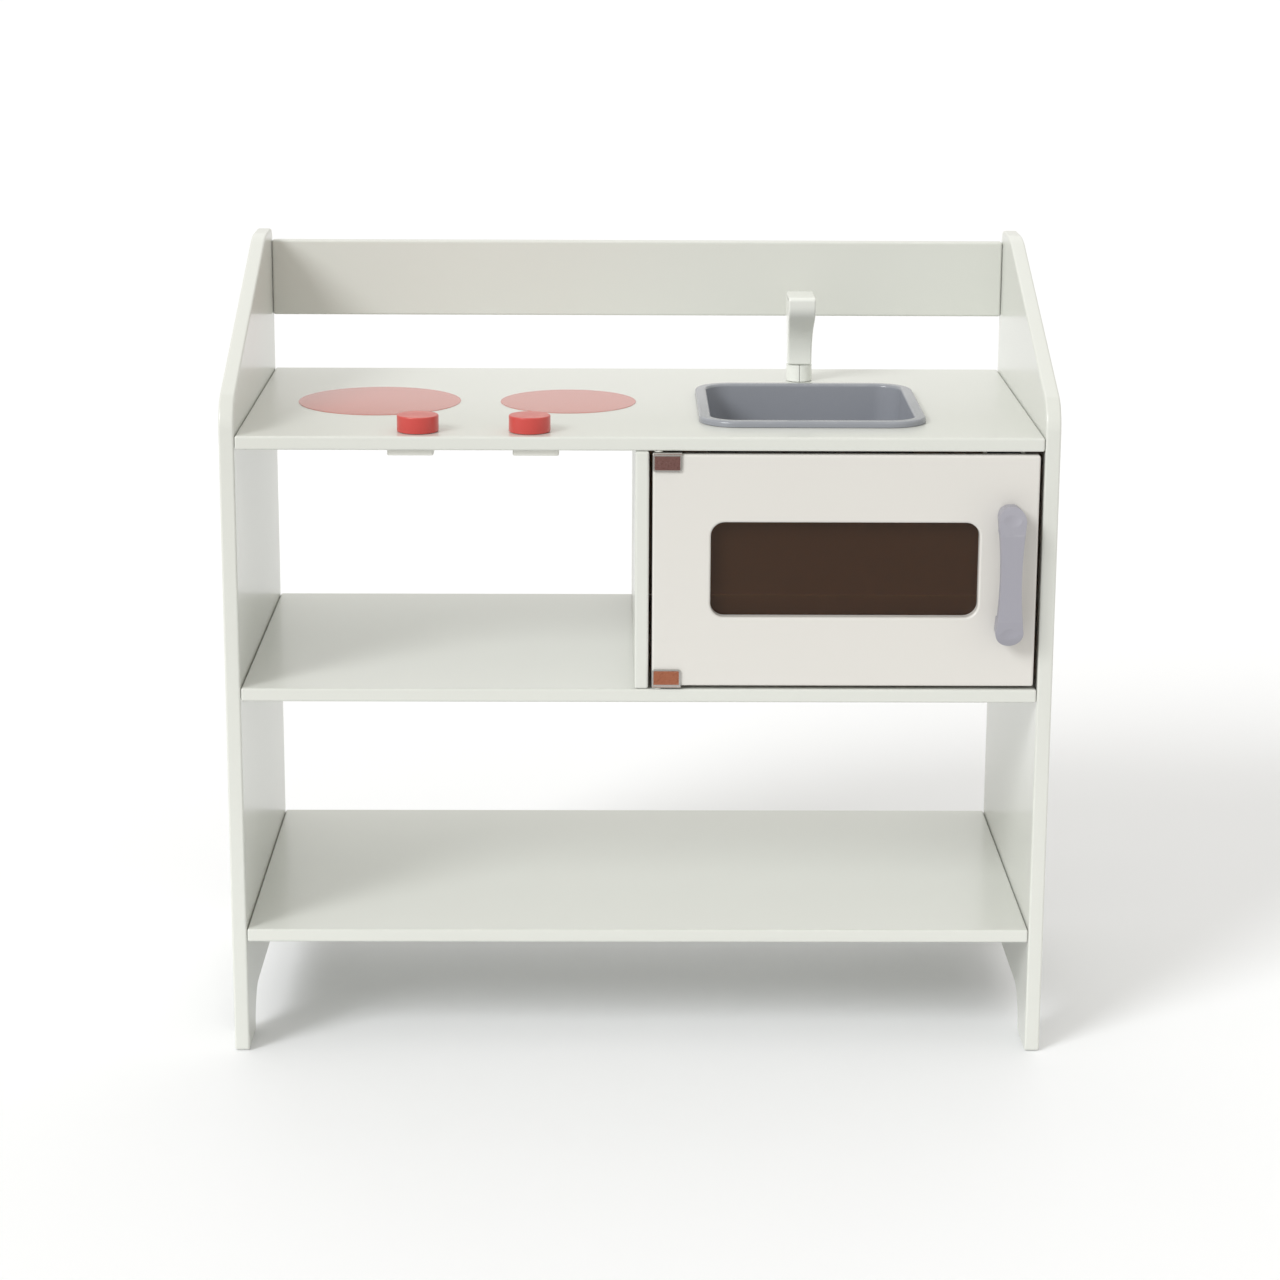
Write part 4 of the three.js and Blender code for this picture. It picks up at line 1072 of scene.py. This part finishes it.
@dataclass
class Hob(Assembly):
    """The two printed rings, and the two knobs with what holds them under the worktop."""

    ring_sides: int = 160
    ring_edge: float = 0.08 * MM
    knob_sides: int = 72
    knob_edge: float = 0.9 * MM
    knob_crown: float = 0.25 * MM
    foot_bevel: float = 0.5 * MM
    crown_steps: tuple[float, ...] = (0.45, 0.35, 0.2)
    crown_inset: float = 0.25
    ring_inset: float = 1.5 * MM
    bore_radius: float = 3.3 * MM
    housing_corner: float = 2 * MM
    housing_edge: float = 0.8 * MM
    housing_wall: float = 1.2 * MM
    bearing_radius: float = 2.9 * MM
    bearing_height: float = 4 * MM

    def build(self) -> None:
        """Makes rings, knobs and housings, and paints the inner pieces."""
        for side, body in (("left", Body.LEFT_KNOB), ("right", Body.RIGHT_KNOB)):
            self.ring(side)
            self.knob(side, body)
            self.housing(side)
            self.paint_node(f"{side}_knob_axle", Finishes.WHITE_PLASTIC)
            self.paint_node(f"{side}_click_spring", Finishes.STEEL)

    def ring(self, side: str) -> bpy.types.Object:
        """One printed disc, thin, with a soft rim."""
        node = f"{side}_hob_print"
        low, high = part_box(node)
        disc = Bench.round_bar(
            f"ring_{side}", (low + high) / 2, (high.x - low.x) / 2, high.z - low.z, self.ring_sides
        )
        Bench.soften(disc, self.ring_edge, 2)
        with Bench.editing(disc):
            Bench.choose(disc, Kind.FACE, lambda at, way: way.z > 0.99)
            bpy.ops.mesh.inset(thickness=self.ring_inset, depth=0)
        return self.dress(disc, Finishes.PRINT, node)

    def knob(self, side: str, body: Body) -> bpy.types.Object:
        """One turned knob: softly rounded top rim, low crown, and a small step at its foot."""
        node = f"{side}_knob"
        low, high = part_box(node)
        middle = (low + high) / 2
        radius = (high.x - low.x) / 2
        tall = high.z - low.z - self.knob_crown
        place = Vector((middle.x, middle.y, low.z + tall / 2))
        knob = Bench.round_bar(f"knob_{side}", place, radius, tall, self.knob_sides)
        Bench.round_edges(
            knob, lambda at, way: at.z > low.z + tall - MM / 10 and abs(way.z) < 0.5,
            self.knob_edge, 5,
        )
        Bench.round_edges(
            knob, lambda at, way: at.z < low.z + MM / 10 and abs(way.z) < 0.5, self.foot_bevel, 2
        )
        with Bench.editing(knob):
            Bench.choose(knob, Kind.FACE, lambda at, way: way.z > 0.99)
            for rise in self.crown_steps:
                bpy.ops.mesh.inset(thickness=radius * self.crown_inset, depth=0)
                bpy.ops.transform.translate(value=(0, 0, self.knob_crown * rise))
        axle_low, axle_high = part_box(f"{side}_knob_axle")
        bore = Bench.round_bar(
            "bore", Vector((middle.x, middle.y, low.z)), self.bore_radius,
            2 * (axle_high.z - low.z + JOINT_GAP), self.ring_sides // 4,
        )
        Bench.take_away(knob, [bore])
        paint = Finishes.knob(f"red_paint_{side}", middle)
        return self.dress(knob, paint, node, body=body)

    def housing(self, side: str) -> bpy.types.Object:
        """The click mechanism's cover: a shallow moulded box, open to the worktop."""
        node = f"{side}_click_housing"
        low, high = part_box(node)
        cover = Bench.block(f"click_cover_{side}", low, high)
        Bench.round_along(cover, Axis.Z, self.housing_corner, 6)
        Bench.round_edges(
            cover, lambda at, way: at.z < low.z + MM / 10 and abs(way.z) < 0.1, self.housing_edge, 3
        )
        with Bench.editing(cover):
            Bench.choose(cover, Kind.FACE, lambda at, way: way.z > 0.99)
            bpy.ops.mesh.inset(thickness=self.housing_wall, depth=0)
            Bench.extrude(0, low.z + self.housing_wall - high.z)
        axle_low, axle_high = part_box(f"{side}_knob_axle")
        axis = (axle_low + axle_high) / 2
        bearing = Bench.round_bar(
            "bearing", Vector((axis.x, axis.y, low.z)), self.bearing_radius, self.bearing_height,
            self.ring_sides // 4,
        )
        Bench.take_away(cover, [bearing])
        return self.dress(cover, Finishes.WHITE_PLASTIC, node)


@dataclass
class SinkBowl(Assembly):
    """The moulded drop-in sink: a rolled rim round a deep bowl with a rounded floor."""

    body: Body = Body.SINK
    lip: float = 5.6 * MM
    rim_width: float = 8.5 * MM
    rim_radius: float = 28 * MM
    body_radius: float = 22 * MM
    wall: float = 1.9 * MM
    draft: float = 5 * MM
    floor_radius: float = 9 * MM
    corner_segments: int = 14
    rim_roll: float = 2.1 * MM

    def build(self) -> None:
        """Makes the sink as one skin, then gives it its wall."""
        low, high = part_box("sink_bowl")
        middle = (low + high) / 2
        bpy.ops.object.select_all(action="DESELECT")
        bpy.ops.mesh.primitive_plane_add(size=1, location=(middle.x, middle.y, high.z))
        bowl = Bench.name(bpy.context.object, "sink_tray")
        bowl.scale = (high.x - low.x, high.y - low.y, 1)
        bpy.ops.object.transform_apply(location=True, rotation=True, scale=True)
        Bench.round_edges(
            bowl, lambda at, way: True, self.rim_radius, self.corner_segments, Kind.VERT
        )
        with Bench.editing(bowl):
            bpy.ops.mesh.select_all(action="SELECT")
            bpy.ops.mesh.inset(thickness=self.rim_width, depth=0)
            depth = high.z - low.z - self.wall
            half = (high.x - low.x) / 2 - self.rim_width
            taper = 1 - (self.draft - self.wall) / half
            Bench.extrude(0, -depth)
            bpy.ops.transform.resize(value=(taper, taper, 1))
        floor = high.z - depth
        Bench.round_edges(
            bowl, lambda at, way: at.z < floor + MM / 10 and abs(way.z) < 0.1, self.floor_radius, 7
        )
        with Bench.editing(bowl, Kind.EDGE):
            self.choose_edges(bowl, lambda edge: edge.is_boundary)
            rim_fall = high.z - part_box("worktop")[1].z - JOINT_GAP
            Bench.extrude(0, -rim_fall)
        self.roll_rim(bowl, high)
        Bench.face_out(bowl)
        self.wall_up(bowl)
        self.dress(bowl, Finishes.SINK, "sink_bowl")

    @staticmethod
    def choose_edges(bowl: bpy.types.Object, test: Callable[[bmesh.types.BMEdge], bool]) -> None:
        """Selects the skin's edges that pass a test."""
        mesh = bmesh.from_edit_mesh(bowl.data)
        for edge in mesh.edges:
            edge.select_set(test(edge))
        mesh.select_flush_mode()
        bmesh.update_edit_mesh(bowl.data)

    def roll_rim(self, bowl: bpy.types.Object, high: Vector) -> None:
        """Rounds the rim's outer and inner edges."""

        def turns_down(edge: bmesh.types.BMEdge) -> bool:
            """Whether the flat rim turns down at an edge."""
            level = all(abs(vert.co.z - high.z) < MM / 10 for vert in edge.verts)
            falls = any(abs(face.normal.z) < 0.5 for face in edge.link_faces)
            flat = any(abs(face.normal.z) > 0.9 for face in edge.link_faces)
            return level and falls and flat

        with Bench.editing(bowl, Kind.EDGE):
            self.choose_edges(bowl, turns_down)
            bpy.ops.mesh.bevel(
                offset=self.rim_roll, segments=6, profile=0.5, affect="EDGES", clamp_overlap=True
            )

    def wall_up(self, bowl: bpy.types.Object) -> None:
        """Gives the skin its wall, inside the outer shape of rim and beneath the bowl."""
        Bench.apply(bowl, "SOLIDIFY", thickness=self.wall, offset=-1.0, use_even_offset=True)


@dataclass
class Tap(Assembly):
    """The tap: a split round foot, and a spout that swells forward from its stem."""

    body: Body = Body.TAP
    foot_sides: int = 64
    foot_edge: float = 0.8 * MM
    stem_half_depth: float = 8 * MM
    stem_half_width: float = 9.3 * MM
    nose: float = 13 * MM
    throat: float = 36 * MM
    throat_radius: float = 38 * MM
    lip_radius: float = 12 * MM
    edge: float = 1.6 * MM
    steps: int = 22
    parted_share: float = 0.6
    base: float = 2 * MM
    swell_drop: float = 18 * MM
    lip_rise: float = 6 * MM
    back_radius: float = 5 * MM
    nose_radius: float = 3 * MM
    bore_radius: float = 4.3 * MM
    bore_length: float = 37.2 * MM

    def build(self) -> None:
        """Makes the foot's halves and the spout, and paints the inner pieces."""
        self.foot()
        self.spout()
        self.paint_node("tap_spindle", Finishes.STEEL)
        self.paint_node("tap_washer", Finishes.STEEL)

    def axis(self) -> Vector:
        """The point on the worktop that the spout turns about."""
        joint = next(joint for joint in frame["joints"] if joint["name"] == "tap_swivel")
        return Vector(joint["pos_m"])

    def foot(self) -> None:
        """The round foot, parted down its middle."""
        low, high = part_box("tap_base_right")
        axis = self.axis()
        radius = high.x - axis.x
        middle = Vector((axis.x, axis.y, (low.z + high.z) / 2))
        whole = Bench.round_bar("tap_foot", middle, radius, high.z - low.z, self.foot_sides)
        bore = Bench.round_bar("bore", middle, SPINDLE_HOLE, THROUGH, self.foot_sides // 2)
        Bench.take_away(whole, [bore])
        for side, sign in (("left", 1), ("right", -1)):
            half = Bench.copy(whole, f"tap_foot_{side}", Matrix.Identity(4))
            cut = Vector((axis.x - sign * JOINT_GAP / 2, axis.y, middle.z))
            Bench.slice_off(half, cut, Vector((sign, 0, 0)))
            Bench.soften(half, self.foot_edge * self.parted_share, 3, angle=50)
            self.dress(half, Finishes.TAP, f"tap_base_{side}", body=Body.CABINET)
        bpy.data.objects.remove(whole)

    def front_at(self, height: float, high: Vector, front: float, stem_front: float) -> float:
        """Where the spout's front is at a height.

        Args:
            height: The height asked for.
            high: The spout's highest corner.
            front: The nose's front.
            stem_front: The stem's front.

        Returns:
            The front's place along Y.
        """
        knee = high.z - self.throat
        lip = high.z - self.nose
        lean = math.atan2(stem_front - front, lip - knee)
        low_reach = self.throat_radius * math.tan(lean / 2)
        lip_reach = self.lip_radius * math.tan(lean / 2)
        if height <= knee - low_reach:
            return stem_front
        if height >= lip + lip_reach:
            return front
        if height < knee + low_reach * math.cos(lean):
            rise = (height - knee + low_reach) / self.throat_radius
            return stem_front - self.throat_radius * (1 - math.sqrt(1 - rise * rise))
        if height > lip - lip_reach * math.cos(lean):
            drop = (lip + lip_reach - height) / self.lip_radius
            return front + self.lip_radius * (1 - math.sqrt(1 - drop * drop))
        return stem_front - (height - knee) * math.tan(lean)

    def spout(self) -> bpy.types.Object:
        """The stem and nose, pulled up through a row of sections and softened."""
        low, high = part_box("tap_spout")
        axis = self.axis()
        stem_front = axis.y - self.stem_half_depth
        rear = axis.y + self.stem_half_depth
        nose_half = (high.x - low.x) / 2
        reach = stem_front - low.y

        def section(height: float) -> tuple[float, float, float, float]:
            """The spout's section at a height."""
            front = self.front_at(height, high, low.y, stem_front)
            ahead = (stem_front - front) / reach
            width = self.stem_half_width + (nose_half - self.stem_half_width) * ahead
            return height, front, rear, width

        start = Vector((axis.x - self.stem_half_width, stem_front, low.z))
        end = Vector((axis.x + self.stem_half_width, rear, low.z + self.base))
        spout = Bench.block("tap_neck", start, end)
        swell = high.z - self.throat - self.swell_drop
        lip = high.z - self.nose + self.lip_rise
        heights = [low.z + self.base, swell]
        heights += [swell + (lip - swell) * step / self.steps for step in range(1, self.steps + 1)]
        heights += [high.z]
        Bench.pull_sections(spout, [section(height) for height in heights])
        top = high.z - MM / 10
        Bench.round_edges(
            spout, lambda at, way: at.z > top and at.y > rear - MM, self.back_radius, 8
        )
        Bench.round_edges(
            spout, lambda at, way: at.z > top and at.y < low.y + MM, self.nose_radius, 6
        )
        Bench.soften(spout, self.edge, 4, angle=35)
        foot = Vector((axis.x, axis.y, low.z))
        sides = self.foot_sides // 2
        bore = Bench.round_bar("bore", foot, self.bore_radius, self.bore_length, sides)
        Bench.take_away(spout, [bore])
        return self.dress(spout, Finishes.TAP, "tap_spout")


@dataclass
class Door(Assembly):
    """The oven door with its window, pane, clips and strike, and the catch above it."""

    body: Body = Body.DOOR
    edge: float = 1.9 * MM
    stile: float = 42 * MM
    below_window: float = 51.3 * MM
    above_window: float = 49.5 * MM
    window_radius: float = 10 * MM
    pane_edge: float = 0.5 * MM
    clip_edge: float = 0.35 * MM
    clip_plate: float = 1.2 * MM
    clip_frame: float = 0.8 * MM
    clip_recess: float = 0.18 * MM
    clip_bend: float = 1.6 * MM
    clip_corner: float = 2.2 * MM
    pin_hole: float = 2.1 * MM
    pin_hole_length: float = 6 * MM
    pane_radius: float = 4 * MM
    strike_radius: float = 1.5 * MM
    strike_edge: float = 0.25 * MM
    catch_radius: float = 1.5 * MM
    catch_edge: float = 0.4 * MM
    slack: float = 20 * MM

    def build(self) -> None:
        """Makes the door's pieces, and paints the small fixed ones."""
        self.panel()
        self.pane()
        for end in ("upper", "lower"):
            self.clip(end)
            self.paint_node(f"{end}_hinge_pin", Finishes.STEEL)
            self.paint_node(f"{end}_hinge_bush", Finishes.WHITE_PLASTIC)
        self.strike()
        self.catch()

    def panel(self) -> bpy.types.Object:
        """The door board with its round-cornered window."""
        low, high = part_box("door_panel")
        board = Bench.block("door_board", low, high)
        opening = Bench.block(
            "opening", Vector((low.x + self.stile, low.y - self.slack, low.z + self.below_window)),
            Vector((high.x - self.stile, high.y + self.slack, high.z - self.above_window)),
        )
        Bench.round_along(opening, Axis.Y, self.window_radius, 10)
        Bench.take_away(board, [opening])
        Bench.soften(board, self.edge, 4, angle=40)
        Bench.take_away(board, Screws().holes("pane_screw", "handle_screw", "strike_screw"))
        return self.dress(board, Finishes.DOOR, "door_panel")

    def pane(self) -> bpy.types.Object:
        """The smoked sheet behind the window, with polished edges."""
        low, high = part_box("door_window")
        sheet = Bench.block("window_sheet", low, high)
        Bench.round_along(sheet, Axis.Y, self.pane_radius, 6)
        Bench.soften(sheet, self.pane_edge, 2, angle=60)
        Bench.take_away(sheet, Screws().holes("pane_screw"))
        return self.dress(sheet, Finishes.PANE, "door_window")

    def clip(self, end: str) -> bpy.types.Object:
        """A bent sheet clip over the door's edge, with a bright rim round a copper face."""
        node = f"{end}_hinge_clip"
        low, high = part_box(node)
        clip = Bench.block(f"clip_{end}", low, high)
        wall = Vector((-self.slack, self.clip_plate, 0))
        start, stop = low + wall, high - wall
        if end == "upper":
            start.z, stop.z = low.z - self.slack, high.z - self.clip_plate
        else:
            start.z, stop.z = low.z + self.clip_plate, high.z + self.slack
        Bench.take_away(clip, [Bench.block("space", start, stop)])
        pin_low, pin_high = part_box(f"{end}_hinge_pin")
        pin = (pin_low + pin_high) / 2
        plate = high.z if end == "upper" else low.z
        place = Vector((pin.x, pin.y, plate))
        hole = Bench.round_bar("hole", place, self.pin_hole, self.pin_hole_length, 32)
        Bench.take_away(clip, [hole])
        Bench.round_edges(
            clip, lambda at,
            way: abs(way.x) > 0.99 and at.y < low.y + MM / 10 and abs(at.z - plate) < MM / 10,
            self.clip_bend, 6,
        )
        free = low.z if end == "upper" else high.z
        Bench.round_edges(
            clip, lambda at, way: abs(way.y) > 0.99 and abs(at.z - free) < MM / 10,
            self.clip_corner, 6,
        )
        Bench.soften(clip, self.clip_edge, 3, angle=50)
        with Bench.editing(clip):
            Bench.choose(
                clip, Kind.FACE, lambda at, way: way.y < -0.9999 and at.y < low.y + MM / 100
            )
            bpy.ops.mesh.inset(thickness=self.clip_frame, depth=0)
            bpy.ops.mesh.inset(thickness=self.clip_recess, depth=-self.clip_recess)
        # The upper clip gets the copy of the copper with painted shade from the worktop above it.
        copper = Finishes.CLIP_UPPER if end == "upper" else Finishes.CLIP_LOWER
        clip.data.materials.append(Finishes.CLIP_RIM.material())
        clip.data.materials.append(copper.material())
        level = low.y + self.clip_recess
        for face in clip.data.polygons:
            if face.normal.y < -0.9 and abs(face.center.y - level) < MM / 20:
                face.material_index = 1
        return self.dress(clip, copper, node)

    def strike(self) -> bpy.types.Object:
        """The steel plate that the magnet holds."""
        low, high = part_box("strike_plate")
        plate = Bench.block("strike_steel", low, high)
        Bench.round_along(plate, Axis.Y, self.strike_radius, 4)
        Bench.soften(plate, self.strike_edge, 2, angle=60)
        Bench.take_away(plate, Screws().holes("strike_screw"))
        return self.dress(plate, Finishes.STEEL, "strike_plate")

    def catch(self) -> bpy.types.Object:
        """The catch's moulded housing, with the magnet in its mouth."""
        low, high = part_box("catch_housing")
        housing = Bench.block("catch_cover", low, high)
        Bench.round_edges(
            housing, lambda at, way: at.y > high.y - MM and abs(way.y) < 0.1, self.catch_radius, 4
        )
        magnet_low, magnet_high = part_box("catch_magnet")
        gap = Vector((JOINT_GAP, JOINT_GAP, JOINT_GAP))
        pocket = Bench.block("pocket", magnet_low - gap, magnet_high + gap)
        Bench.take_away(housing, [pocket])
        Bench.soften(housing, self.catch_edge, 2, angle=50)
        self.paint_node("catch_magnet", Finishes.MAGNET)
        return self.dress(housing, Finishes.WHITE_PLASTIC, "catch_housing", body=Body.CABINET)


@dataclass
class Handle(Assembly):
    """The moulded bow handle: round dished ends, a narrow waist and a bar clear of the door."""

    body: Body = Body.DOOR
    waist: float = 15 * MM
    bar: float = 8 * MM
    foot: float = 19 * MM
    tip_drop: float = 7 * MM
    inner_radius: float = 5 * MM
    side_edge: float = 2.4 * MM
    heel_radius: float = 6 * MM
    foot_taper: float = 0.87
    dish_radius: float = 22 * MM
    dish_depth: float = 1.1 * MM
    end_steps: int = 10
    turn_steps: int = 5
    bar_steps: int = 14
    bar_share: float = 0.8
    end_trim: float = 0.15 * MM
    foot_start: float = 0.3 * MM

    def build(self) -> None:
        """Pulls the handle up through its sections, rounds it and dishes its ends."""
        low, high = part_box("door_handle")
        middle = (low + high) / 2
        half = (high.z - low.z) / 2
        radius = (high.x - low.x) / 2
        heights = self.heights(half, radius)
        sections = [
            (middle.z + height, *self.depths(height, half, low.y, high.y),
             self.half_width(height, half, radius))
            for height in heights
        ]
        height, front, rear, width = sections[0]
        start = Vector((middle.x - width, front, height - 0.1 * MM))
        end = Vector((middle.x + width, rear, height))
        bow = Bench.block("handle_bow", start, end)
        Bench.pull_sections(bow, sections)
        behind = high.y - self.heel_radius - MM / 10
        with Bench.editing(bow, Kind.VERT):
            Bench.choose(bow, Kind.VERT, lambda at, way: at.y > behind)
            bpy.ops.transform.resize(value=(self.foot_taper, 1, 1), center_override=middle)
        Bench.soften(bow, self.side_edge, 5, angle=50)
        Bench.take_away(bow, [self.dish(sign, middle, half, radius, low.y) for sign in (-1, 1)])
        Bench.take_away(bow, Screws().holes("handle_screw"))
        self.dress(bow, Finishes.HANDLE, "door_handle")

    def dish(
        self, sign: int, middle: Vector, half: float, radius: float, front: float
    ) -> bpy.types.Object:
        """The ball that hollows one round end, set square to the sloping face there.

        Args:
            sign: 1 for the upper end, -1 for the lower one.
            middle: The handle's middle.
            half: Half the handle's length.
            radius: The round end's radius.
            front: Where the handle's front is along Y.

        Returns:
            The ball.
        """
        away = half - radius
        fall = (away - half + self.foot) / self.foot
        slope = math.atan(2 * self.tip_drop * fall / self.foot)
        face = Vector((middle.x, front + self.tip_drop * fall * fall, middle.z + sign * away))
        outward = Vector((0, -math.cos(slope), sign * math.sin(slope)))
        bpy.ops.object.select_all(action="DESELECT")
        bpy.ops.mesh.primitive_uv_sphere_add(
            segments=64, ring_count=48, radius=self.dish_radius,
            location=face + outward * (self.dish_radius - self.dish_depth),
        )
        bpy.ops.object.transform_apply(location=True, rotation=True, scale=True)
        return bpy.context.object

    def heights(self, half: float, radius: float) -> list[float]:
        """The heights of the handle's sections, close together where it turns."""
        start = half - radius
        ends = [
            start + radius * math.sin(math.pi / 2 * step / self.end_steps)
            for step in range(self.end_steps)
        ]
        ends.append(half - self.end_trim)
        inner = half - self.foot
        turn = [
            inner - self.inner_radius * (1 - math.sin(math.pi / 2 * step / self.turn_steps))
            for step in range(self.turn_steps)
        ]
        bar = [inner * self.bar_share * step / self.bar_steps for step in range(self.bar_steps)]
        every = [*bar, *turn, inner, inner + self.foot_start, *ends]
        upper = sorted({round(value, 7) for value in every})
        return [-value for value in reversed(upper) if value > 0] + upper

    def half_width(self, height: float, half: float, radius: float) -> float:
        """Half the handle's width at a height from its middle."""
        start = half - radius
        away = abs(height)
        if away > start:
            return math.sqrt(max(radius**2 - (away - start) ** 2, 1e-8))
        share = away / start
        return self.waist / 2 + (radius - self.waist / 2) * share * share

    def depths(self, height: float, half: float, front: float, rear: float) -> tuple[float, float]:
        """Where the handle's front and rear are at a height from its middle."""
        away = abs(height)
        inner = half - self.foot
        fall = max(0.0, away - inner) / self.foot
        face = front + self.tip_drop * fall * fall
        back = front + self.bar
        if away > inner + 0.2 * MM:
            turned = max(0.0, away - half + self.heel_radius)
            rise = self.heel_radius - math.sqrt(self.heel_radius**2 - turned**2)
            return face, rear - rise
        corner = away - (inner - self.inner_radius)
        if corner <= 0:
            return face, back
        share = min(1.0, corner / self.inner_radius)
        return face, back + self.inner_radius * (1 - math.sqrt(1 - share * share))


@dataclass
class Studio:
    """The pale floor, the soft lights and the camera."""

    lens: float = 91.51
    sensor: float = 36.0
    place: tuple[float, float, float] = (-0.02266, -2.41827, 0.8921)
    pitch: float = math.radians(14.166)
    yaw: float = math.radians(0.581)
    roll: float = math.radians(0.265)
    floor_size: float = 40.0
    floor_roughness: float = 0.9
    lamp_distance: float = 3.0
    floor_fade: tuple[float, float] = (-1.5, -0.7)
    floor_pale: Colour = (0.93, 0.935, 0.955, 1.0)
    floor_dim: Colour = (0.42, 0.41, 0.4, 1.0)
    sky: float = 0.8
    backdrop: float = 0.8
    sky_colour: Colour = (1.0, 0.985, 0.94, 1.0)
    key_colour: tuple[float, float, float] = (0.975, 0.99, 1.0)

    def build(self) -> None:
        """Makes floor, sky, lights and camera."""
        self.floor()
        self.light_sky()
        self.sun("key", math.radians(44), math.radians(32), math.radians(22), 1.6)
        self.sun("back", math.radians(180), math.radians(36), math.radians(50), 0.25)
        self.camera()

    def floor(self) -> None:
        """A pale floor that dims far in front of the kitchen."""
        bpy.ops.object.select_all(action="DESELECT")
        bpy.ops.mesh.primitive_plane_add(size=self.floor_size, location=(0, 0, 0))
        floor = Bench.name(bpy.context.object, "floor")
        pale = bpy.data.materials.new("pale_floor")
        pale.use_nodes = True
        shader = pale.node_tree.nodes["Principled BSDF"]
        wire = Wiring(pale.node_tree)
        place = wire.add("ShaderNodeTexCoord").outputs["Object"]
        split = wire.add("ShaderNodeSeparateXYZ", Vector=place)
        # Painted shade: far in front of the kitchen the floor's colour turns darker, which also cuts the light it
        # bounces onto the kitchen's front.
        ahead = wire.band(split.outputs["Y"], *self.floor_fade, 1, 0)
        colour = wire.mix(ahead, self.floor_pale, self.floor_dim)
        pale.node_tree.links.new(colour, shader.inputs["Base Color"])
        shader.inputs["Roughness"].default_value = self.floor_roughness
        floor.data.materials.append(pale)

    def light_sky(self) -> None:
        """White light from all round, brighter from the backdrop's side."""
        world = bpy.data.worlds.new("studio")
        world.use_nodes = True
        background = world.node_tree.nodes["Background"]
        background.inputs["Color"].default_value = self.sky_colour
        wire = Wiring(world.node_tree)
        way = wire.add("ShaderNodeTexCoord").outputs["Generated"]
        split = wire.add("ShaderNodeSeparateXYZ", Vector=way)
        strength = wire.band(split.outputs["Y"], -0.5, 0.5, self.sky, self.backdrop)
        world.node_tree.links.new(strength, background.inputs["Strength"])
        bpy.context.scene.world = world

    def sun(self, name: str, left: float, height: float, spread: float, strength: float) -> None:
        """A wide soft light from far away.

        Args:
            name: The light's name.
            left: How far left of straight ahead it comes from, as an angle.
            height: How high it stands, as an angle.
            spread: The angle that it fills.
            strength: Its strength.
        """
        data = bpy.data.lights.new(name, "SUN")
        data.angle = spread
        data.energy = strength
        data.color = self.key_colour
        lamp = bpy.data.objects.new(name, data)
        flat = math.cos(height)
        way = Vector((-math.sin(left) * flat, -math.cos(left) * flat, math.sin(height)))
        lamp.location = way * self.lamp_distance
        lamp.rotation_euler = way.to_track_quat("Z", "Y").to_euler()
        bpy.context.scene.collection.objects.link(lamp)

    def camera(self) -> None:
        """The camera at the first view's place, lens and tilt."""
        data = bpy.data.cameras.new("view")
        data.sensor_width = self.sensor
        data.lens = self.lens
        camera = bpy.data.objects.new("view", data)
        turn = Matrix.Rotation(-self.yaw, 4, "Z") @ Matrix.Rotation(
            math.pi / 2 - self.pitch, 4, "X"
        )
        turn = turn @ Matrix.Rotation(self.roll, 4, "Z")
        camera.matrix_world = Matrix.Translation(self.place) @ turn
        bpy.context.scene.collection.objects.link(camera)
        bpy.context.scene.camera = camera
        bpy.context.scene.view_settings.view_transform = "Standard"


def main() -> None:
    """Builds the stage, then every sub-assembly in order."""
    logging.basicConfig(level=logging.INFO, format="%(name)s %(message)s")
    Studio().build()
    for assembly in (Carcass(), Hob(), SinkBowl(), Tap(), Door(), Handle(), Screws()):
        assembly.build()


if __name__ == "__main__":
    main()
